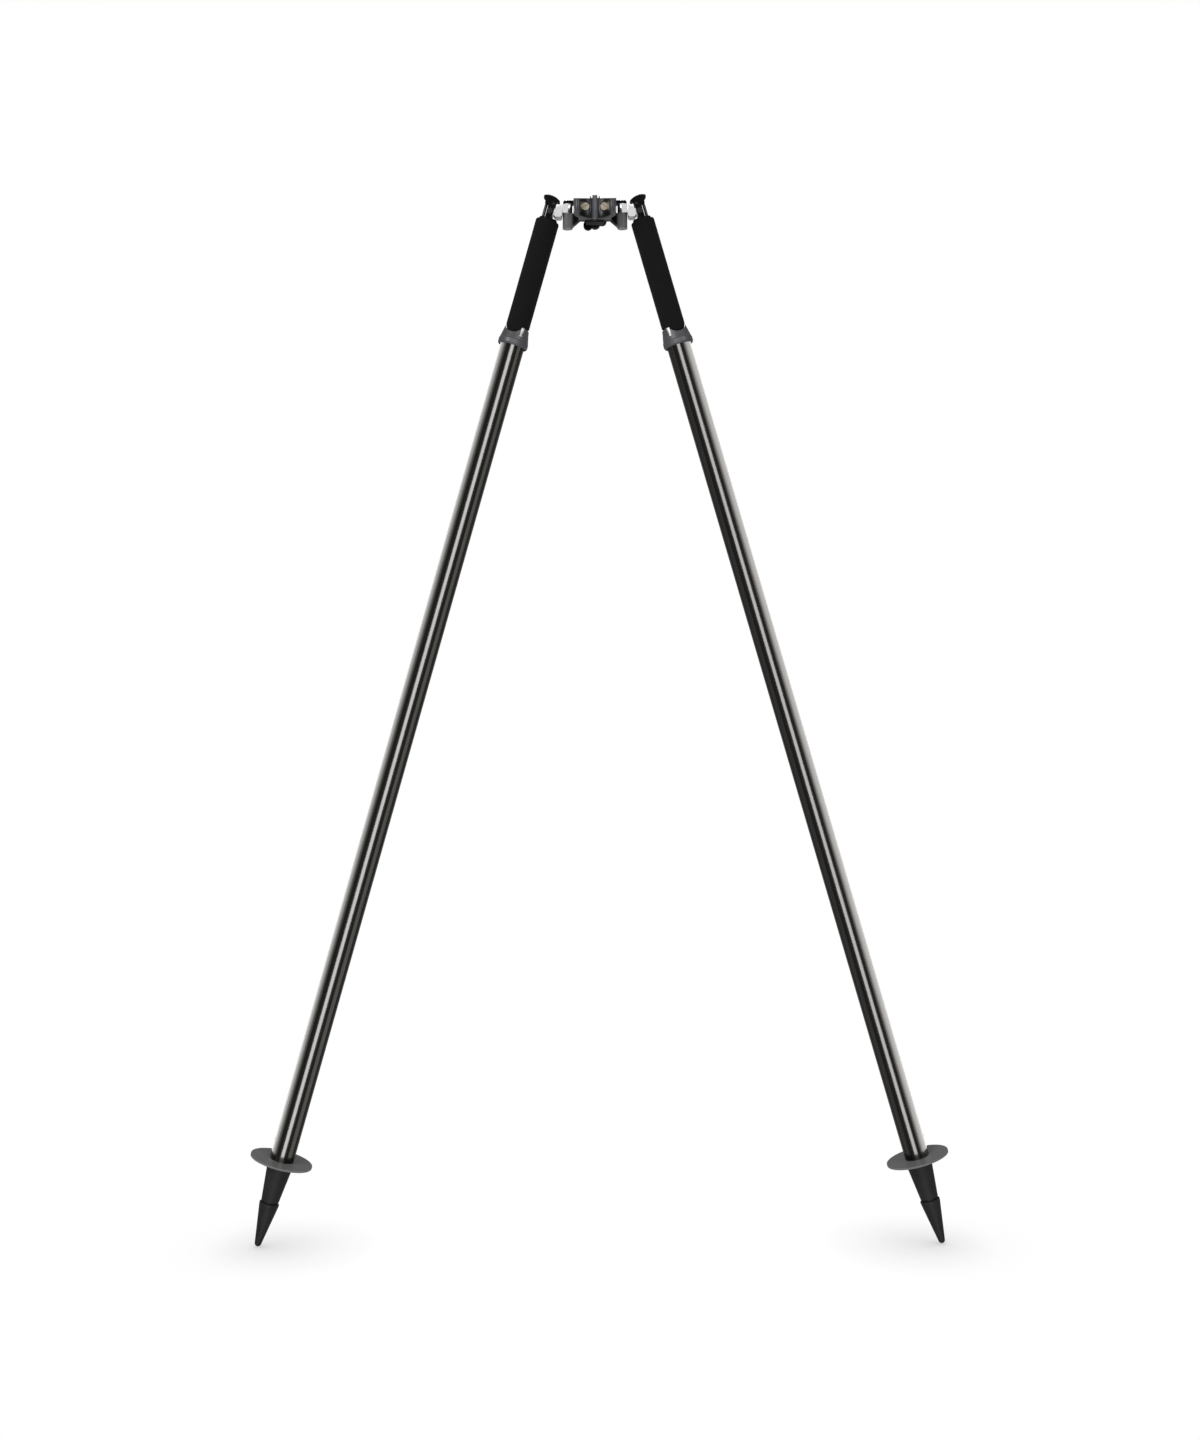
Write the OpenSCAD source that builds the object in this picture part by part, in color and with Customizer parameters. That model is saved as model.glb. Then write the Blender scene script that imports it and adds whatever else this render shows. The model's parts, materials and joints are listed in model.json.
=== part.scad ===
// Prism pole bipod: an open pole clamp with two telescopic legs that swing, spread and lock
// Origin on the pole axis at the clamp's mid-height, +Z up the pole, clamp mouth toward -Y

/* [Pole clamp] */
// Bore of the open clamp
clamp_bore_d = 31.8; // [28:0.1:36]
// Wall of the two clamp arms
clamp_wall = 6; // [4:0.1:8]
// How far the clamp reaches round the pole, in degrees
clamp_wrap = 219; // [205:1:245]
// Height of the clamp at its back
clamp_back_h = 20; // [18:0.5:30]
// Height of the clamp at its two lips
clamp_lip_h = 9; // [7:0.5:16]
// Thickness of the clamp's back behind the bore
clamp_back_t = 8.1; // [7.5:0.1:12]
// Height of the guides beside the pressure bar above the clamp
guide_h = 2.5; // [1:0.1:6]
// Thickness of those guides
guide_t = 1.2; // [0.8:0.1:2]

/* [Clamp fasteners] */
// Distance between the two brass screws
clamp_screw_gap = 20.8; // [18:0.1:24]
// Height of the two brass screws above mid-height
clamp_screw_z = 2; // [-3:0.5:5]
// Head diameter of the brass screws
clamp_screw_head_d = 9.2; // [5:0.1:10]
// Head height of the brass screws
clamp_screw_head_h = 3; // [2:0.1:3.2]
// Shank diameter of the brass screws
clamp_screw_d = 4; // [3:0.1:5]
// Length of the brass screws' shanks
clamp_screw_len = 16; // [10:0.5:18]
// Width of the slot in the screw heads
screw_slot_w = 1; // [0.8:0.1:1.6]
// Turn of those slots from level
screw_slot_turn = 35; // [0:5:90]
// Depth of the screw seat behind the bore
clamp_screw_seat = 1.9; // [1.2:0.1:3]

/* [Pressure bar and knob] */
// Width of the pressure bar
bar_w = 7.8; // [5:0.1:10]
// Height of the pressure bar
bar_h = 20; // [14:0.5:22]
// Thickness of the pressure bar
bar_t = 3; // [2.6:0.1:4]
// Diameter of the boss behind the pressure bar
bar_boss_d = 6.6; // [6:0.1:8]
// Length of that boss
bar_boss_l = 2; // [1.5:0.1:3]
// How far the pressure bar stands back from the pole
bar_setback = 0.05; // [0.05:0.05:1]
// Width of the bar's tail between the guides
bar_tail_w = 5; // [3:0.1:7]
// Height of that tail above the bar
bar_tail_h = 3.8; // [2:0.1:8]
// How far the pressure bar travels
bar_stroke = 2.5; // [1:0.1:4]
// Diameter of the clamp stud
stud_d = 5; // [4:0.1:5.4]
// How far the stud lies below mid-height
stud_drop = 6.5; // [2:0.1:6.6]
// Outer diameter of the threaded bush in the yoke
screw_bush_d = 8; // [7:0.1:9]
// Span of the knob's two lobes
knob_span = 25; // [18:0.5:30]
// Diameter of each lobe
knob_lobe_d = 9.5; // [6:0.1:12]
// Thickness of the lobes
knob_lobe_t = 6; // [4:0.1:8]
// Diameter of the knob's hub
knob_hub_d = 11; // [9:0.1:14]
// Length of the knob's hub
knob_hub_l = 10; // [8:0.5:14]
// Turn of the knob at rest
knob_turn = 17; // [0:1:90]

/* [Yoke] */
// Distance between the two swing pins
pin_spacing = 57; // [54:0.5:70]
// How far the swing pins lie behind the yoke's front face
pin_setback = 7; // [6:0.5:9]
// Width of the yoke's middle
yoke_w = 34; // [30:0.5:38]
// Depth of the yoke's middle
yoke_t = 13; // [11:0.5:18]
// Underside of the yoke's middle below mid-height
yoke_drop = 7.5; // [6:0.5:10]
// Width of the boss round the stud
boss_w = 19; // [12:0.5:24]
// Underside of that boss below mid-height
boss_drop = 11.3; // [11:0.1:14]
// Chamfer of the yoke's back corners
yoke_chamfer = 2.5; // [1:0.1:4]
// Thickness of the side arms
arm_t = 9.2; // [8:0.1:10]
// Thickness of the upper ears
ear_t = 3.1; // [2:0.1:5]
// Diameter of the upper ears
ear_d = 9.2; // [8:0.1:10]
// Height of the lower barrel lugs
lug_h = 15.2; // [13:0.1:24]
// Diameter of the lower barrel lugs
lug_d = 10.4; // [9:0.1:10.6]
// Diameter of the swing pins
swing_pin_d = 5; // [4:0.1:6]
// Depth of the swing pins in the lugs
swing_pin_depth = 11; // [8:0.5:12.5]
// Diameter of the swing pins' heads
swing_head_d = 7.2; // [6:0.1:8]
// Height of the swing pins' heads
swing_head_h = 0.9; // [0.5:0.1:1.5]

/* [Swivel] */
// Diameter of the swivel's eye
eye_d = 10; // [9:0.1:11]
// Height of the swivel's eye
eye_h = 9.2; // [7:0.1:10]
// Mid-height of the swivel's eye
eye_z = 3.4; // [3:0.1:4.5]
// Thickness of the washers above and below the eye
swing_washer_t = 0.4; // [0.3:0.05:1]
// Distance from swing pin to leg hinge
hinge_reach = 18.3; // [18:0.1:24]
// Width of the swivel block
block_w = 14; // [11:0.1:15]
// Underside of the swivel block below the hinge
block_drop = 6; // [4:0.1:6.2]
// Thickness of the tongue in the leg head
tongue_t = 8; // [6:0.1:9]
// Height of the tongue
tongue_h = 7.2; // [6:0.1:7.6]
// Diameter of the leg hinge pins
hinge_pin_d = 4; // [3:0.1:4.6]
// Thickness of the washers beside the tongue
hinge_washer_t = 0.4; // [0.3:0.05:1]

/* [Leg head and lever] */
// Spread of each leg from the pole at rest
splay = 16.1; // [12:0.1:20]
// Thickness of the leg head's cheeks
cheek_t = 3.3; // [2.5:0.1:3.6]
// Reach of the cheeks toward the pole
cheek_in = 3.4; // [3.2:0.1:3.8]
// Reach of the cheeks away from the pole
cheek_out = 3.2; // [3.1:0.1:4]
// Height of the cheeks above the hinge
cheek_top = 11.2; // [11:0.1:11.3]
// Depth of the slot below the hinge
slot_depth = 7; // [6.6:0.1:9]
// Thickness of the leg head's flange
flange_t = 2.5; // [2:0.1:4]
// Length of the plug in the inner tube
plug_l = 20.5; // [16:0.5:30]
// Diameter of the cross pin through plug and tube
head_pin_d = 3; // [2:0.1:4]
// Height of the lever pin above the hinge
lever_pin_z = 8.5; // [8.2:0.1:9]
// How far the lever pin lies toward the pole
lever_pin_in = 1.5; // [1:0.1:2]
// Diameter of the lever pin
lever_pin_d = 2.5; // [2:0.1:3]
// Reach of the lever toward the pole
lever_in = 7; // [6:0.1:7.4]
// Reach of the lever away from the pole
lever_out = 10.4; // [9.5:0.1:13]
// Width of the lever's thumb pad
lever_w = 8.6; // [7:0.1:14]
// Underside of the lever's plate above the hinge
lever_z = 12.2; // [11.7:0.1:12.5]
// Thickness of the lever at the crown of its back
lever_t = 4.8; // [4:0.1:6]
// Radius of the lever's rounded back
lever_back_r = 16; // [14:0.5:20]
// Distance of that crown from the leg's axis
lever_crown = 3; // [2:0.1:5]
// Grip ridges across the thumb pad
lever_ridges = 4; // [2:1:5]
// Distance between those ridges
ridge_pitch = 1.6; // [1.2:0.1:2.4]
// Radius of those ridges
ridge_r = 0.5; // [0.3:0.05:0.7]

/* [Release and brake] */
// Diameter of the release rod
rod_d = 6; // [4:0.1:7]
// Diameter of the finger that the lever pushes
finger_d = 3.2; // [2.5:0.1:3.4]
// Distance of the finger from the leg's axis
finger_out = 6; // [5.8:0.1:6.2]
// Travel of the release rod
rod_stroke = 0.8; // [0.5:0.05:1.2]
// Thickness of the push plate
push_plate_t = 2.5; // [2:0.1:4]
// Wire of the return spring
spring_wire = 1.2; // [0.8:0.1:1.6]
// Mean diameter of the return spring
spring_d = 10.4; // [9:0.1:12]
// Length of the return spring
spring_l = 30; // [25:0.5:45]
// Curls of the return spring
spring_curls = 9; // [6:1:12]
// Length of the spring seat
spring_seat_l = 6; // [4:0.5:10]
// Length of the brake seat in the inner tube
brake_seat_l = 20; // [12:0.5:30]
// Thickness of the brake seat's flange
brake_flange_t = 4; // [3:0.1:6]
// Length of the brake collet
collet_l = 20; // [15:0.5:26]
// Smaller diameter of the brake cone
cone_small_d = 8.6; // [8:0.1:10]
// Larger diameter of the brake cone
cone_large_d = 14.6; // [13:0.1:16]
// Width across the brake nut's flats
brake_nut_w = 10; // [9:0.5:13]
// Height of the brake nut
brake_nut_h = 5; // [4:0.1:6]

/* [Tubes and grip] */
// Outer diameter of the inner tube
inner_d = 19.05; // [18.4:0.05:19.4]
// Wall of the inner tube
inner_wall = 1.5; // [1:0.1:1.6]
// Room between the brake and the foot in a closed leg
closed_room = 44.4; // [20:0.1:120]
// Outer diameter of the outer tube
outer_d = 25.4; // [25:0.05:26]
// Wall of the outer tube
outer_wall = 1.5; // [1.2:0.1:1.7]
// Length of the outer tube
outer_l = 886.7; // [880:0.1:960]
// Diameter of the foam grip
grip_d = 24.4; // [23:0.1:25.2]
// Length of the foam grip
grip_l = 114.2; // [90:0.1:140]
// Rounding of the foam grip's ends
grip_round = 1.2; // [1:0.1:2.6]

/* [Collar] */
// Length of the collar
collar_l = 19.9; // [18:0.1:26]
// Rim of the collar's top round the outer tube
collar_rim = 0.1; // [0:0.05:0.8]
// Wall of the collar round the outer tube where it is widest
collar_wall = 3.05; // [1.8:0.05:5.3]
// Gap between grip and collar
collar_gap = 1.6; // [1.2:0.1:2]
// Depth of the saddle where the grip's end dips into the collar
saddle_depth = 7.5; // [6:0.1:8]
// Width of the saddle
saddle_w = 17.5; // [16:0.1:18]
// Offset of the saddle from the leg's axis toward the outside
saddle_out = 3.2; // [2.5:0.1:3.3]
// Gap between the grip and the collar's saddle
saddle_gap = 0.8; // [0.5:0.1:1]
// Thickness of the collar's lip below the saddle
collar_lip = 1.3; // [1:0.1:1.8]
// Height of the bush's head in the collar
bush_head_l = 4.6; // [3:0.1:6]
// Length of the bush's sleeve in the outer tube
bush_sleeve_l = 34; // [20:0.5:60]
// Room round the outer tube in the hollow of the collar's lower end
skirt_room = 1.5; // [0.8:0.05:2]
// Depth of that hollow
skirt_l = 3.5; // [2:0.1:6]
// Distance from the leg's axis to the sight notch's far side, toward the pole
notch_in = 8.6; // [7.8:0.1:9.5]
// Width of the sight notch in the collar
notch_w = 3.1; // [2.4:0.1:4]
// Length of the sight notch
notch_l = 9.3; // [6:0.1:10]

/* [Foot] */
// Diameter of the foot disc
disc_d = 65; // [50:0.5:70]
// Thickness of the foot disc
disc_t = 2; // [1.5:0.1:3]
// Length of the foot cone's spigot in the outer tube
spigot_l = 40; // [25:0.5:45]
// Diameter of the foot cone at the disc
cone_top_d = 27; // [26:0.1:30]
// Height of the straight band above the cone
cone_band_h = 3.3; // [2:0.1:6]
// Diameter of the foot cone at its lower end
cone_low_d = 18.5; // [16:0.1:20]
// Length of the foot cone
foot_cone_l = 39; // [30:0.5:50]
// Height of the gap between cone and point
neck_h = 2; // [1:0.1:4]
// Diameter of that neck
neck_d = 14; // [10:0.1:15]
// Diameter of the foot point's shoulder
point_d = 20.5; // [18:0.1:24]
// Diameter of the foot point's round end
point_end_d = 7; // [4:0.1:9]
// Length of the foot point
point_l = 47.6; // [35:0.1:60]
// Diameter of the foot point's stud
point_stud_d = 8; // [6:0.1:9]
// Length of the foot point's stud
point_stud_l = 20; // [12:0.5:30]
// Diameter of the cross pin through tube and spigot
foot_pin_d = 4; // [3:0.1:5]

/* [Fits] */
// Radial clearance of a running fit
run_gap = 0.06; // [0.03:0.01:0.09]
// Clearance of a seated fit
seat_gap = 0.02; // [0.01:0.01:0.04]
// Side clearance of a sliding piece
slide_gap = 0.1; // [0.05:0.05:0.2]
// Clear space between moving pieces
free_gap = 0.5; // [0.4:0.1:0.8]

/* [Hidden] */
$fn = 64;
over = 1;

// Heights and depths of the head
bore_r = clamp_bore_d / 2;
clamp_r = bore_r + clamp_wall;
yoke_front = bore_r + clamp_back_t;
yoke_back = yoke_front + yoke_t;
pin_x = pin_spacing / 2;
pin_y = yoke_front + pin_setback;
swing_gap = swing_washer_t + run_gap;
eye_low = eye_z - eye_h / 2;
eye_top = eye_z + eye_h / 2;
lug_top = eye_low - swing_gap;
lug_low = lug_top - lug_h;
ear_low = eye_top + swing_gap;
yoke_top = ear_low + ear_t;
bar_front = bore_r + bar_setback;
bar_back = bar_front + bar_t;
slot_back = bar_back + bar_boss_l + free_gap;
screw_seat_y = bore_r + clamp_screw_seat;
knob_front = yoke_back + bar_stroke + 1.5;
knob_lobe_x = knob_span / 2 - knob_lobe_d / 2;
stud_tip = bar_back - bar_t / 3;

// Places along the swivel, from the swing pin outward
hinge_x = pin_x + hinge_reach;
block_in = lug_d / 2 + free_gap;
block_out = hinge_reach - cheek_in - 0.7;

// Distances down the leg from the hinge
tube_top = slot_depth + flange_t;
plug_end = tube_top + plug_l;
grip_end = tube_top + grip_l;
collar_top = grip_end + collar_gap;
collar_end = collar_top + collar_l;
bush_top = grip_end + saddle_depth + saddle_gap + collar_lip;
outer_top = bush_top + bush_head_l;
bush_end = outer_top + bush_sleeve_l;
outer_end = outer_top + outer_l;
rod_end = outer_end - spigot_l - closed_room;
nut_end = rod_end - 2;
cone_base = nut_end - brake_nut_h;
cone_end = cone_base - 5;
collet_end = cone_end + 1;
collet_top = collet_end - collet_l;
cone_start = collet_top + free_gap;
inner_end = collet_top - 0.2 - brake_flange_t;
push_plate_top = plug_end + 1.5;
push_plate_end = push_plate_top + push_plate_t;
spring_top = push_plate_end + rod_stroke + 0.1;
spring_end = spring_top + spring_l;
spring_seat_end = spring_end + spring_seat_l;
disc_end = outer_end + disc_t;
band_end = disc_end + cone_band_h;
foot_cone_end = band_end + foot_cone_l;
point_top = foot_cone_end + neck_h;
point_end = point_top + point_l;

// Radii of the leg
inner_r = inner_d / 2;
inner_bore = inner_r - inner_wall;
outer_r = outer_d / 2;
outer_bore = outer_r - outer_wall;
cheek_gap = tongue_t / 2 + hinge_washer_t + slide_gap;
cheek_y = cheek_gap + cheek_t;
finger_top = lever_pin_z - 0.5;

// Diameters of the collar
collar_top_d = outer_d + 2 * collar_rim;
collar_d = outer_d + 2 * collar_wall;
skirt_d = outer_d + 2 * skirt_room;

// The saddle's radius
saddle_r = (saddle_w * saddle_w / 4 + saddle_depth * saddle_depth) / (2 * saddle_depth);

// Colours
black = [0.10, 0.10, 0.11];
dark = [0.20, 0.20, 0.21];
tube_dark = [0.16, 0.155, 0.15];
silver = [0.86, 0.87, 0.88];
steel = [0.62, 0.63, 0.65];
brass = [0.80, 0.68, 0.42];
nylon = [0.92, 0.92, 0.90];

// Helpers

// A flat outline in X and Z, as thick as y0 to y1
module along_y(y0, y1) {
  translate([0, y1, 0])
    rotate([90, 0, 0])
      linear_extrude(y1 - y0)
        children();
}

// A round bar along Y from y0 to y1
module bar_y(y0, y1, r) {
  translate([0, y0, 0])
    rotate([-90, 0, 0])
      cylinder(h = y1 - y0, r = r);
}

// Both sides of a mirrored pair
module both_sides() {
  children();
  mirror([1, 0, 0])
    children();
}

// One side: -1 is left and 1 is right, modelled on the right
module on_side(side) {
  mirror([side < 0 ? 1 : 0, 0, 0])
    children();
}

// The swing pin's frame: X outward, Z up
module at_swing_pin(side) {
  on_side(side)
    translate([pin_x, pin_y, 0])
      children();
}

// The leg's frame at its hinge: X outward, -Z down the leg
module at_leg(side) {
  on_side(side)
    translate([hinge_x, pin_y, 0])
      rotate([0, -splay, 0])
        children();
}

// A solid round piece down the leg from s0 to s1
module rod_down(s0, s1, r) {
  translate([0, 0, -s1])
    cylinder(h = s1 - s0, r = r);
}

// A tube down the leg from s0 to s1
module tube_down(s0, s1, r_out, r_in) {
  difference() {
    rod_down(s0, s1, r_out);
    rod_down(s0 - over, s1 + over, r_in);
  }
}

// A flat ring about Z
module ring(z0, h, r_out, r_in) {
  translate([0, 0, z0])
    difference() {
      cylinder(h = h, r = r_out);
      translate([0, 0, -over])
        cylinder(h = h + 2 * over, r = r_in);
    }
}

// Head

// The clamp seen from above: two arms with round lips and a flat back
module clamp_plan() {
  mouth = (360 - clamp_wrap) / 2;
  reach = 3 * clamp_r;
  lip_r = clamp_wall / 2;
  lip_at = bore_r + lip_r;
  difference() {
    union() {
      difference() {
        circle(clamp_r);
        polygon([[0, 0], [reach * sin(mouth), -reach * cos(mouth)], [reach, -2 * reach],
          [-reach, -2 * reach], [-reach * sin(mouth), -reach * cos(mouth)]]);
      }
      translate([-yoke_w / 2, 0])
        square([yoke_w, yoke_front]);
    }
    circle(bore_r);
  }
  for (side = [-1, 1])
    translate([side * lip_at * sin(mouth), -lip_at * cos(mouth)])
      circle(lip_r);
}

// The clamp seen from the side: a level underside, and a top that falls toward the lips
module clamp_side() {
  high = clamp_back_h / 2;
  rotate([90, 0, 90])
    linear_extrude(4 * clamp_r, center = true)
      polygon([[-clamp_r, -high], [yoke_front, -high], [yoke_front, high],
        [bar_front - clamp_screw_seat, high], [-clamp_r, clamp_lip_h - high]]);
}

module pole_clamp() {
  slot_w = bar_w + 2 * slide_gap;
  guide_w = slot_w + 2 * guide_t;
  color(black)
    difference() {
      union() {
        intersection() {
          linear_extrude(clamp_back_h, center = true)
            clamp_plan();
          clamp_side();
        }
        translate([-guide_w / 2, bar_front, clamp_back_h / 2 - over])
          cube([guide_w, yoke_front - bar_front, guide_h + over]);
      }
      translate([-slot_w / 2, 0, -clamp_back_h])
        cube([slot_w, slot_back, 2 * clamp_back_h]);
      for (side = [-1, 1])
        translate([side * clamp_screw_gap / 2, 0, clamp_screw_z]) {
          bar_y(0, screw_seat_y, clamp_screw_head_d / 2 + slide_gap);
          bar_y(0, yoke_front + over, clamp_screw_d / 2 + seat_gap);
        }
      translate([0, 0, -stud_drop])
        bar_y(0, yoke_front + over, stud_d / 2 + free_gap);
    }
}

// Front outline of the yoke's right half, with the clevis left open
module yoke_outline() {
  gap_x = pin_x - eye_d / 2 - 1.2;
  web_x = pin_x - lug_d / 4;
  polygon([[0, yoke_top], [pin_x, yoke_top], [pin_x, ear_low], [gap_x, ear_low], [gap_x, lug_top],
    [pin_x, lug_top], [pin_x, lug_low], [web_x, lug_low], [yoke_w / 2 - 2, -yoke_drop],
    [0, -yoke_drop]]);
}

// Half of a block of the yoke's middle, with its back corner cut off
module yoke_middle(half_w, drop) {
  translate([0, 0, -drop])
    linear_extrude(drop + yoke_top)
      polygon([[0, yoke_front], [half_w, yoke_front], [half_w, yoke_back - yoke_chamfer],
        [half_w - yoke_chamfer, yoke_back], [0, yoke_back]]);
}

module yoke() {
  color(black)
    difference() {
      both_sides() {
        along_y(pin_y - arm_t / 2, pin_y + arm_t / 2)
          yoke_outline();
        yoke_middle(yoke_w / 2, yoke_drop);
        yoke_middle(boss_w / 2, boss_drop);
        translate([pin_x, pin_y, ear_low])
          cylinder(h = ear_t, r = ear_d / 2);
        translate([pin_x, pin_y, lug_low])
          cylinder(h = lug_h, r = lug_d / 2);
      }
      both_sides() {
        translate([pin_x, pin_y, lug_top - swing_pin_depth])
          cylinder(h = swing_pin_depth + yoke_top - lug_top + over, r = swing_pin_d / 2 + seat_gap);
        translate([clamp_screw_gap / 2, 0, clamp_screw_z])
          bar_y(0, screw_seat_y + clamp_screw_len + free_gap, clamp_screw_d / 2 + seat_gap);
      }
      translate([0, 0, -stud_drop])
        bar_y(0, yoke_back + over, screw_bush_d / 2 + seat_gap);
    }
}

module clamp_screws() {
  color(brass)
    for (side = [-1, 1])
      translate([side * clamp_screw_gap / 2, 0, clamp_screw_z])
        difference() {
          union() {
            bar_y(screw_seat_y - clamp_screw_head_h, screw_seat_y, clamp_screw_head_d / 2);
            bar_y(screw_seat_y - over, screw_seat_y + clamp_screw_len, clamp_screw_d / 2);
          }
          rotate([0, side * screw_slot_turn, 0])
            translate([-clamp_screw_head_d, screw_seat_y - clamp_screw_head_h - over, -screw_slot_w / 2])
              cube([2 * clamp_screw_head_d, over + clamp_screw_head_h / 3, screw_slot_w]);
        }
}

module screw_bush() {
  color(brass)
    translate([0, 0, -stud_drop])
      difference() {
        bar_y(yoke_front + seat_gap, yoke_back, screw_bush_d / 2);
        bar_y(yoke_front - over, yoke_back + over, stud_d / 2 + run_gap);
      }
}

module clamp_stud() {
  color(steel)
    translate([0, 0, -stud_drop])
      bar_y(stud_tip, knob_front + knob_hub_l - 2, stud_d / 2);
}

module wing_knob() {
  lobe_front = knob_front + (knob_hub_l - knob_lobe_t) / 2;
  lobe_back = lobe_front + knob_lobe_t;
  color(black)
    translate([0, 0, -stud_drop])
      rotate([0, -knob_turn, 0])
        difference() {
          union() {
            bar_y(knob_front, knob_front + knob_hub_l, knob_hub_d / 2);
            for (side = [-1, 1])
              translate([side * knob_lobe_x, 0, 0])
                bar_y(lobe_front, lobe_back, knob_lobe_d / 2);
            translate([-knob_lobe_x, lobe_front, -knob_lobe_d / 3])
              cube([2 * knob_lobe_x, knob_lobe_t, knob_lobe_d * 2 / 3]);
          }
          bar_y(knob_front - over, knob_front + knob_hub_l - 2 + seat_gap, stud_d / 2 + seat_gap);
        }
}

module pressure_bar() {
  color(steel)
    difference() {
      union() {
        translate([-bar_w / 2, bar_front, -bar_h / 2])
          cube([bar_w, bar_t, bar_h]);
        translate([-bar_tail_w / 2, bar_front, bar_h / 2 - over])
          cube([bar_tail_w, bar_t, bar_tail_h + over]);
        translate([0, 0, -stud_drop])
          bar_y(bar_back - over, bar_back + bar_boss_l, bar_boss_d / 2);
      }
      translate([0, 0, -stud_drop])
        bar_y(stud_tip - seat_gap, slot_back, stud_d / 2 + run_gap);
    }
}

module swing_pin(side) {
  color(steel)
    at_swing_pin(side) {
      translate([0, 0, lug_top - swing_pin_depth + seat_gap])
        cylinder(h = yoke_top - lug_top + swing_pin_depth, r = swing_pin_d / 2);
      translate([0, 0, yoke_top + seat_gap])
        cylinder(h = swing_head_h, r = swing_head_d / 2);
    }
}

module swing_washers() {
  color(nylon)
    for (side = [-1, 1])
      at_swing_pin(side)
        for (z0 = [lug_top, ear_low - swing_washer_t])
          ring(z0, swing_washer_t, ear_d / 2, swing_pin_d / 2 + seat_gap);
}

// Swivel and leg head

module swivel_block(side) {
  half = tongue_h / 2;
  step = block_in + 2;
  color(silver)
    at_swing_pin(side)
      difference() {
        union() {
          translate([0, 0, eye_low])
            cylinder(h = eye_h, r = eye_d / 2);
          along_y(-eye_d / 2, eye_d / 2)
            polygon([[0, eye_low], [step, eye_low], [step, eye_low + 2], [4, eye_top], [0, eye_top]]);
          along_y(-block_w / 2, block_w / 2)
            polygon([[block_in, 1.5 - block_drop], [block_in + 1.5, -block_drop],
              [block_out - 1.5, -block_drop], [block_out, -half], [block_out, 0.5],
              [block_out - 3.2, half + 1], [step, half + 1.8], [block_in, half + 3.7]]);
          along_y(-tongue_t / 2, tongue_t / 2) {
            translate([block_in + 1, -half])
              square([hinge_reach - block_in - 1, tongue_h]);
            translate([hinge_reach, 0])
              circle(half);
          }
        }
        translate([0, 0, eye_low - over])
          cylinder(h = eye_h + 2 * over, r = swing_pin_d / 2 + run_gap);
        translate([hinge_reach, 0, 0])
          bar_y(-tongue_t, tongue_t, hinge_pin_d / 2 + run_gap);
      }
}

module hinge_pin(side) {
  color(steel)
    at_leg(side) {
      bar_y(-cheek_y - seat_gap, cheek_y + seat_gap, hinge_pin_d / 2);
      bar_y(-cheek_y - 1.2, -cheek_y - seat_gap, hinge_pin_d / 2 + 1);
      bar_y(cheek_y + seat_gap, cheek_y + 0.9, hinge_pin_d / 2 + 0.8);
    }
}

module hinge_washers(side) {
  color(nylon)
    at_leg(side)
      for (turn = [0, 180])
        rotate([0, 0, turn])
          difference() {
            bar_y(cheek_gap - hinge_washer_t, cheek_gap, tongue_h / 2);
            bar_y(0, cheek_y, hinge_pin_d / 2 + seat_gap);
          }
}

// Side outline of a cheek: high over the lever pin, falling away outward
module cheek_outline() {
  fall = 1.4;
  corner = 1.6;
  difference() {
    polygon([[-cheek_in, -slot_depth - over], [cheek_out, -slot_depth - over],
      [cheek_out, cheek_top - fall - corner], [cheek_out - corner, cheek_top - fall],
      [1, cheek_top], [1 - cheek_in, cheek_top], [-cheek_in, cheek_top - 1]]);
    circle(hinge_pin_d / 2 + seat_gap);
    translate([-lever_pin_in, lever_pin_z])
      circle(lever_pin_d / 2 + seat_gap);
  }
}

module leg_head(side) {
  color(black)
    at_leg(side)
      difference() {
        union() {
          for (turn = [0, 180])
            mirror([0, turn == 0 ? 0 : 1, 0])
              along_y(cheek_gap, cheek_y)
                cheek_outline();
          rod_down(slot_depth, tube_top, inner_r);
          rod_down(slot_depth, plug_end, inner_bore - seat_gap);
        }
        translate([finger_out, 0, 0])
          rod_down(0, plug_end + over, finger_d / 2 + 0.25);
        translate([finger_out, -finger_d / 2 - 0.25, -plug_end - over])
          cube([inner_r, finger_d + 0.5, plug_end + over - tube_top]);
        translate([0, 0, -tube_top - plug_l / 2])
          bar_y(-inner_r, inner_r, head_pin_d / 2 + seat_gap);
      }
}

module head_pin(side) {
  color(steel)
    at_leg(side)
      translate([0, 0, -tube_top - plug_l / 2])
        bar_y(-inner_r, inner_r, head_pin_d / 2);
}

module inner_tube(side) {
  color(steel)
    at_leg(side)
      difference() {
        tube_down(tube_top, inner_end, inner_r, inner_bore);
        translate([0, 0, -tube_top - plug_l / 2])
          bar_y(-outer_r, outer_r, head_pin_d / 2 + seat_gap);
      }
}

// A round bar from front to back whose underside dips to a depth below the grip's end
module saddle_bar(depth, r) {
  translate([saddle_out, 0, -grip_end - depth + r])
    bar_y(-collar_d, collar_d, r);
}

// The grip's lower end dips into the collar's saddle
module foam_grip(side) {
  r_out = grip_d / 2;
  r_in = inner_r + 0.3;
  spare = 2 * saddle_depth;
  color(black)
    at_leg(side)
      difference() {
        rotate_extrude()
          difference() {
            translate([r_in, -grip_end - spare])
              square([r_out - r_in, grip_l + spare]);
            difference() {
              translate([r_out - grip_round / 2 + over, -tube_top])
                square([grip_round + 2 * over, 2 * grip_round], center = true);
              translate([r_out - grip_round, -tube_top - grip_round])
                circle(grip_round);
            }
          }
        difference() {
          translate([-grip_d, -grip_d, -grip_end - 2 * spare])
            cube([2 * grip_d, 2 * grip_d, 2 * spare]);
          saddle_bar(saddle_depth, saddle_r);
        }
      }
}

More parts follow.
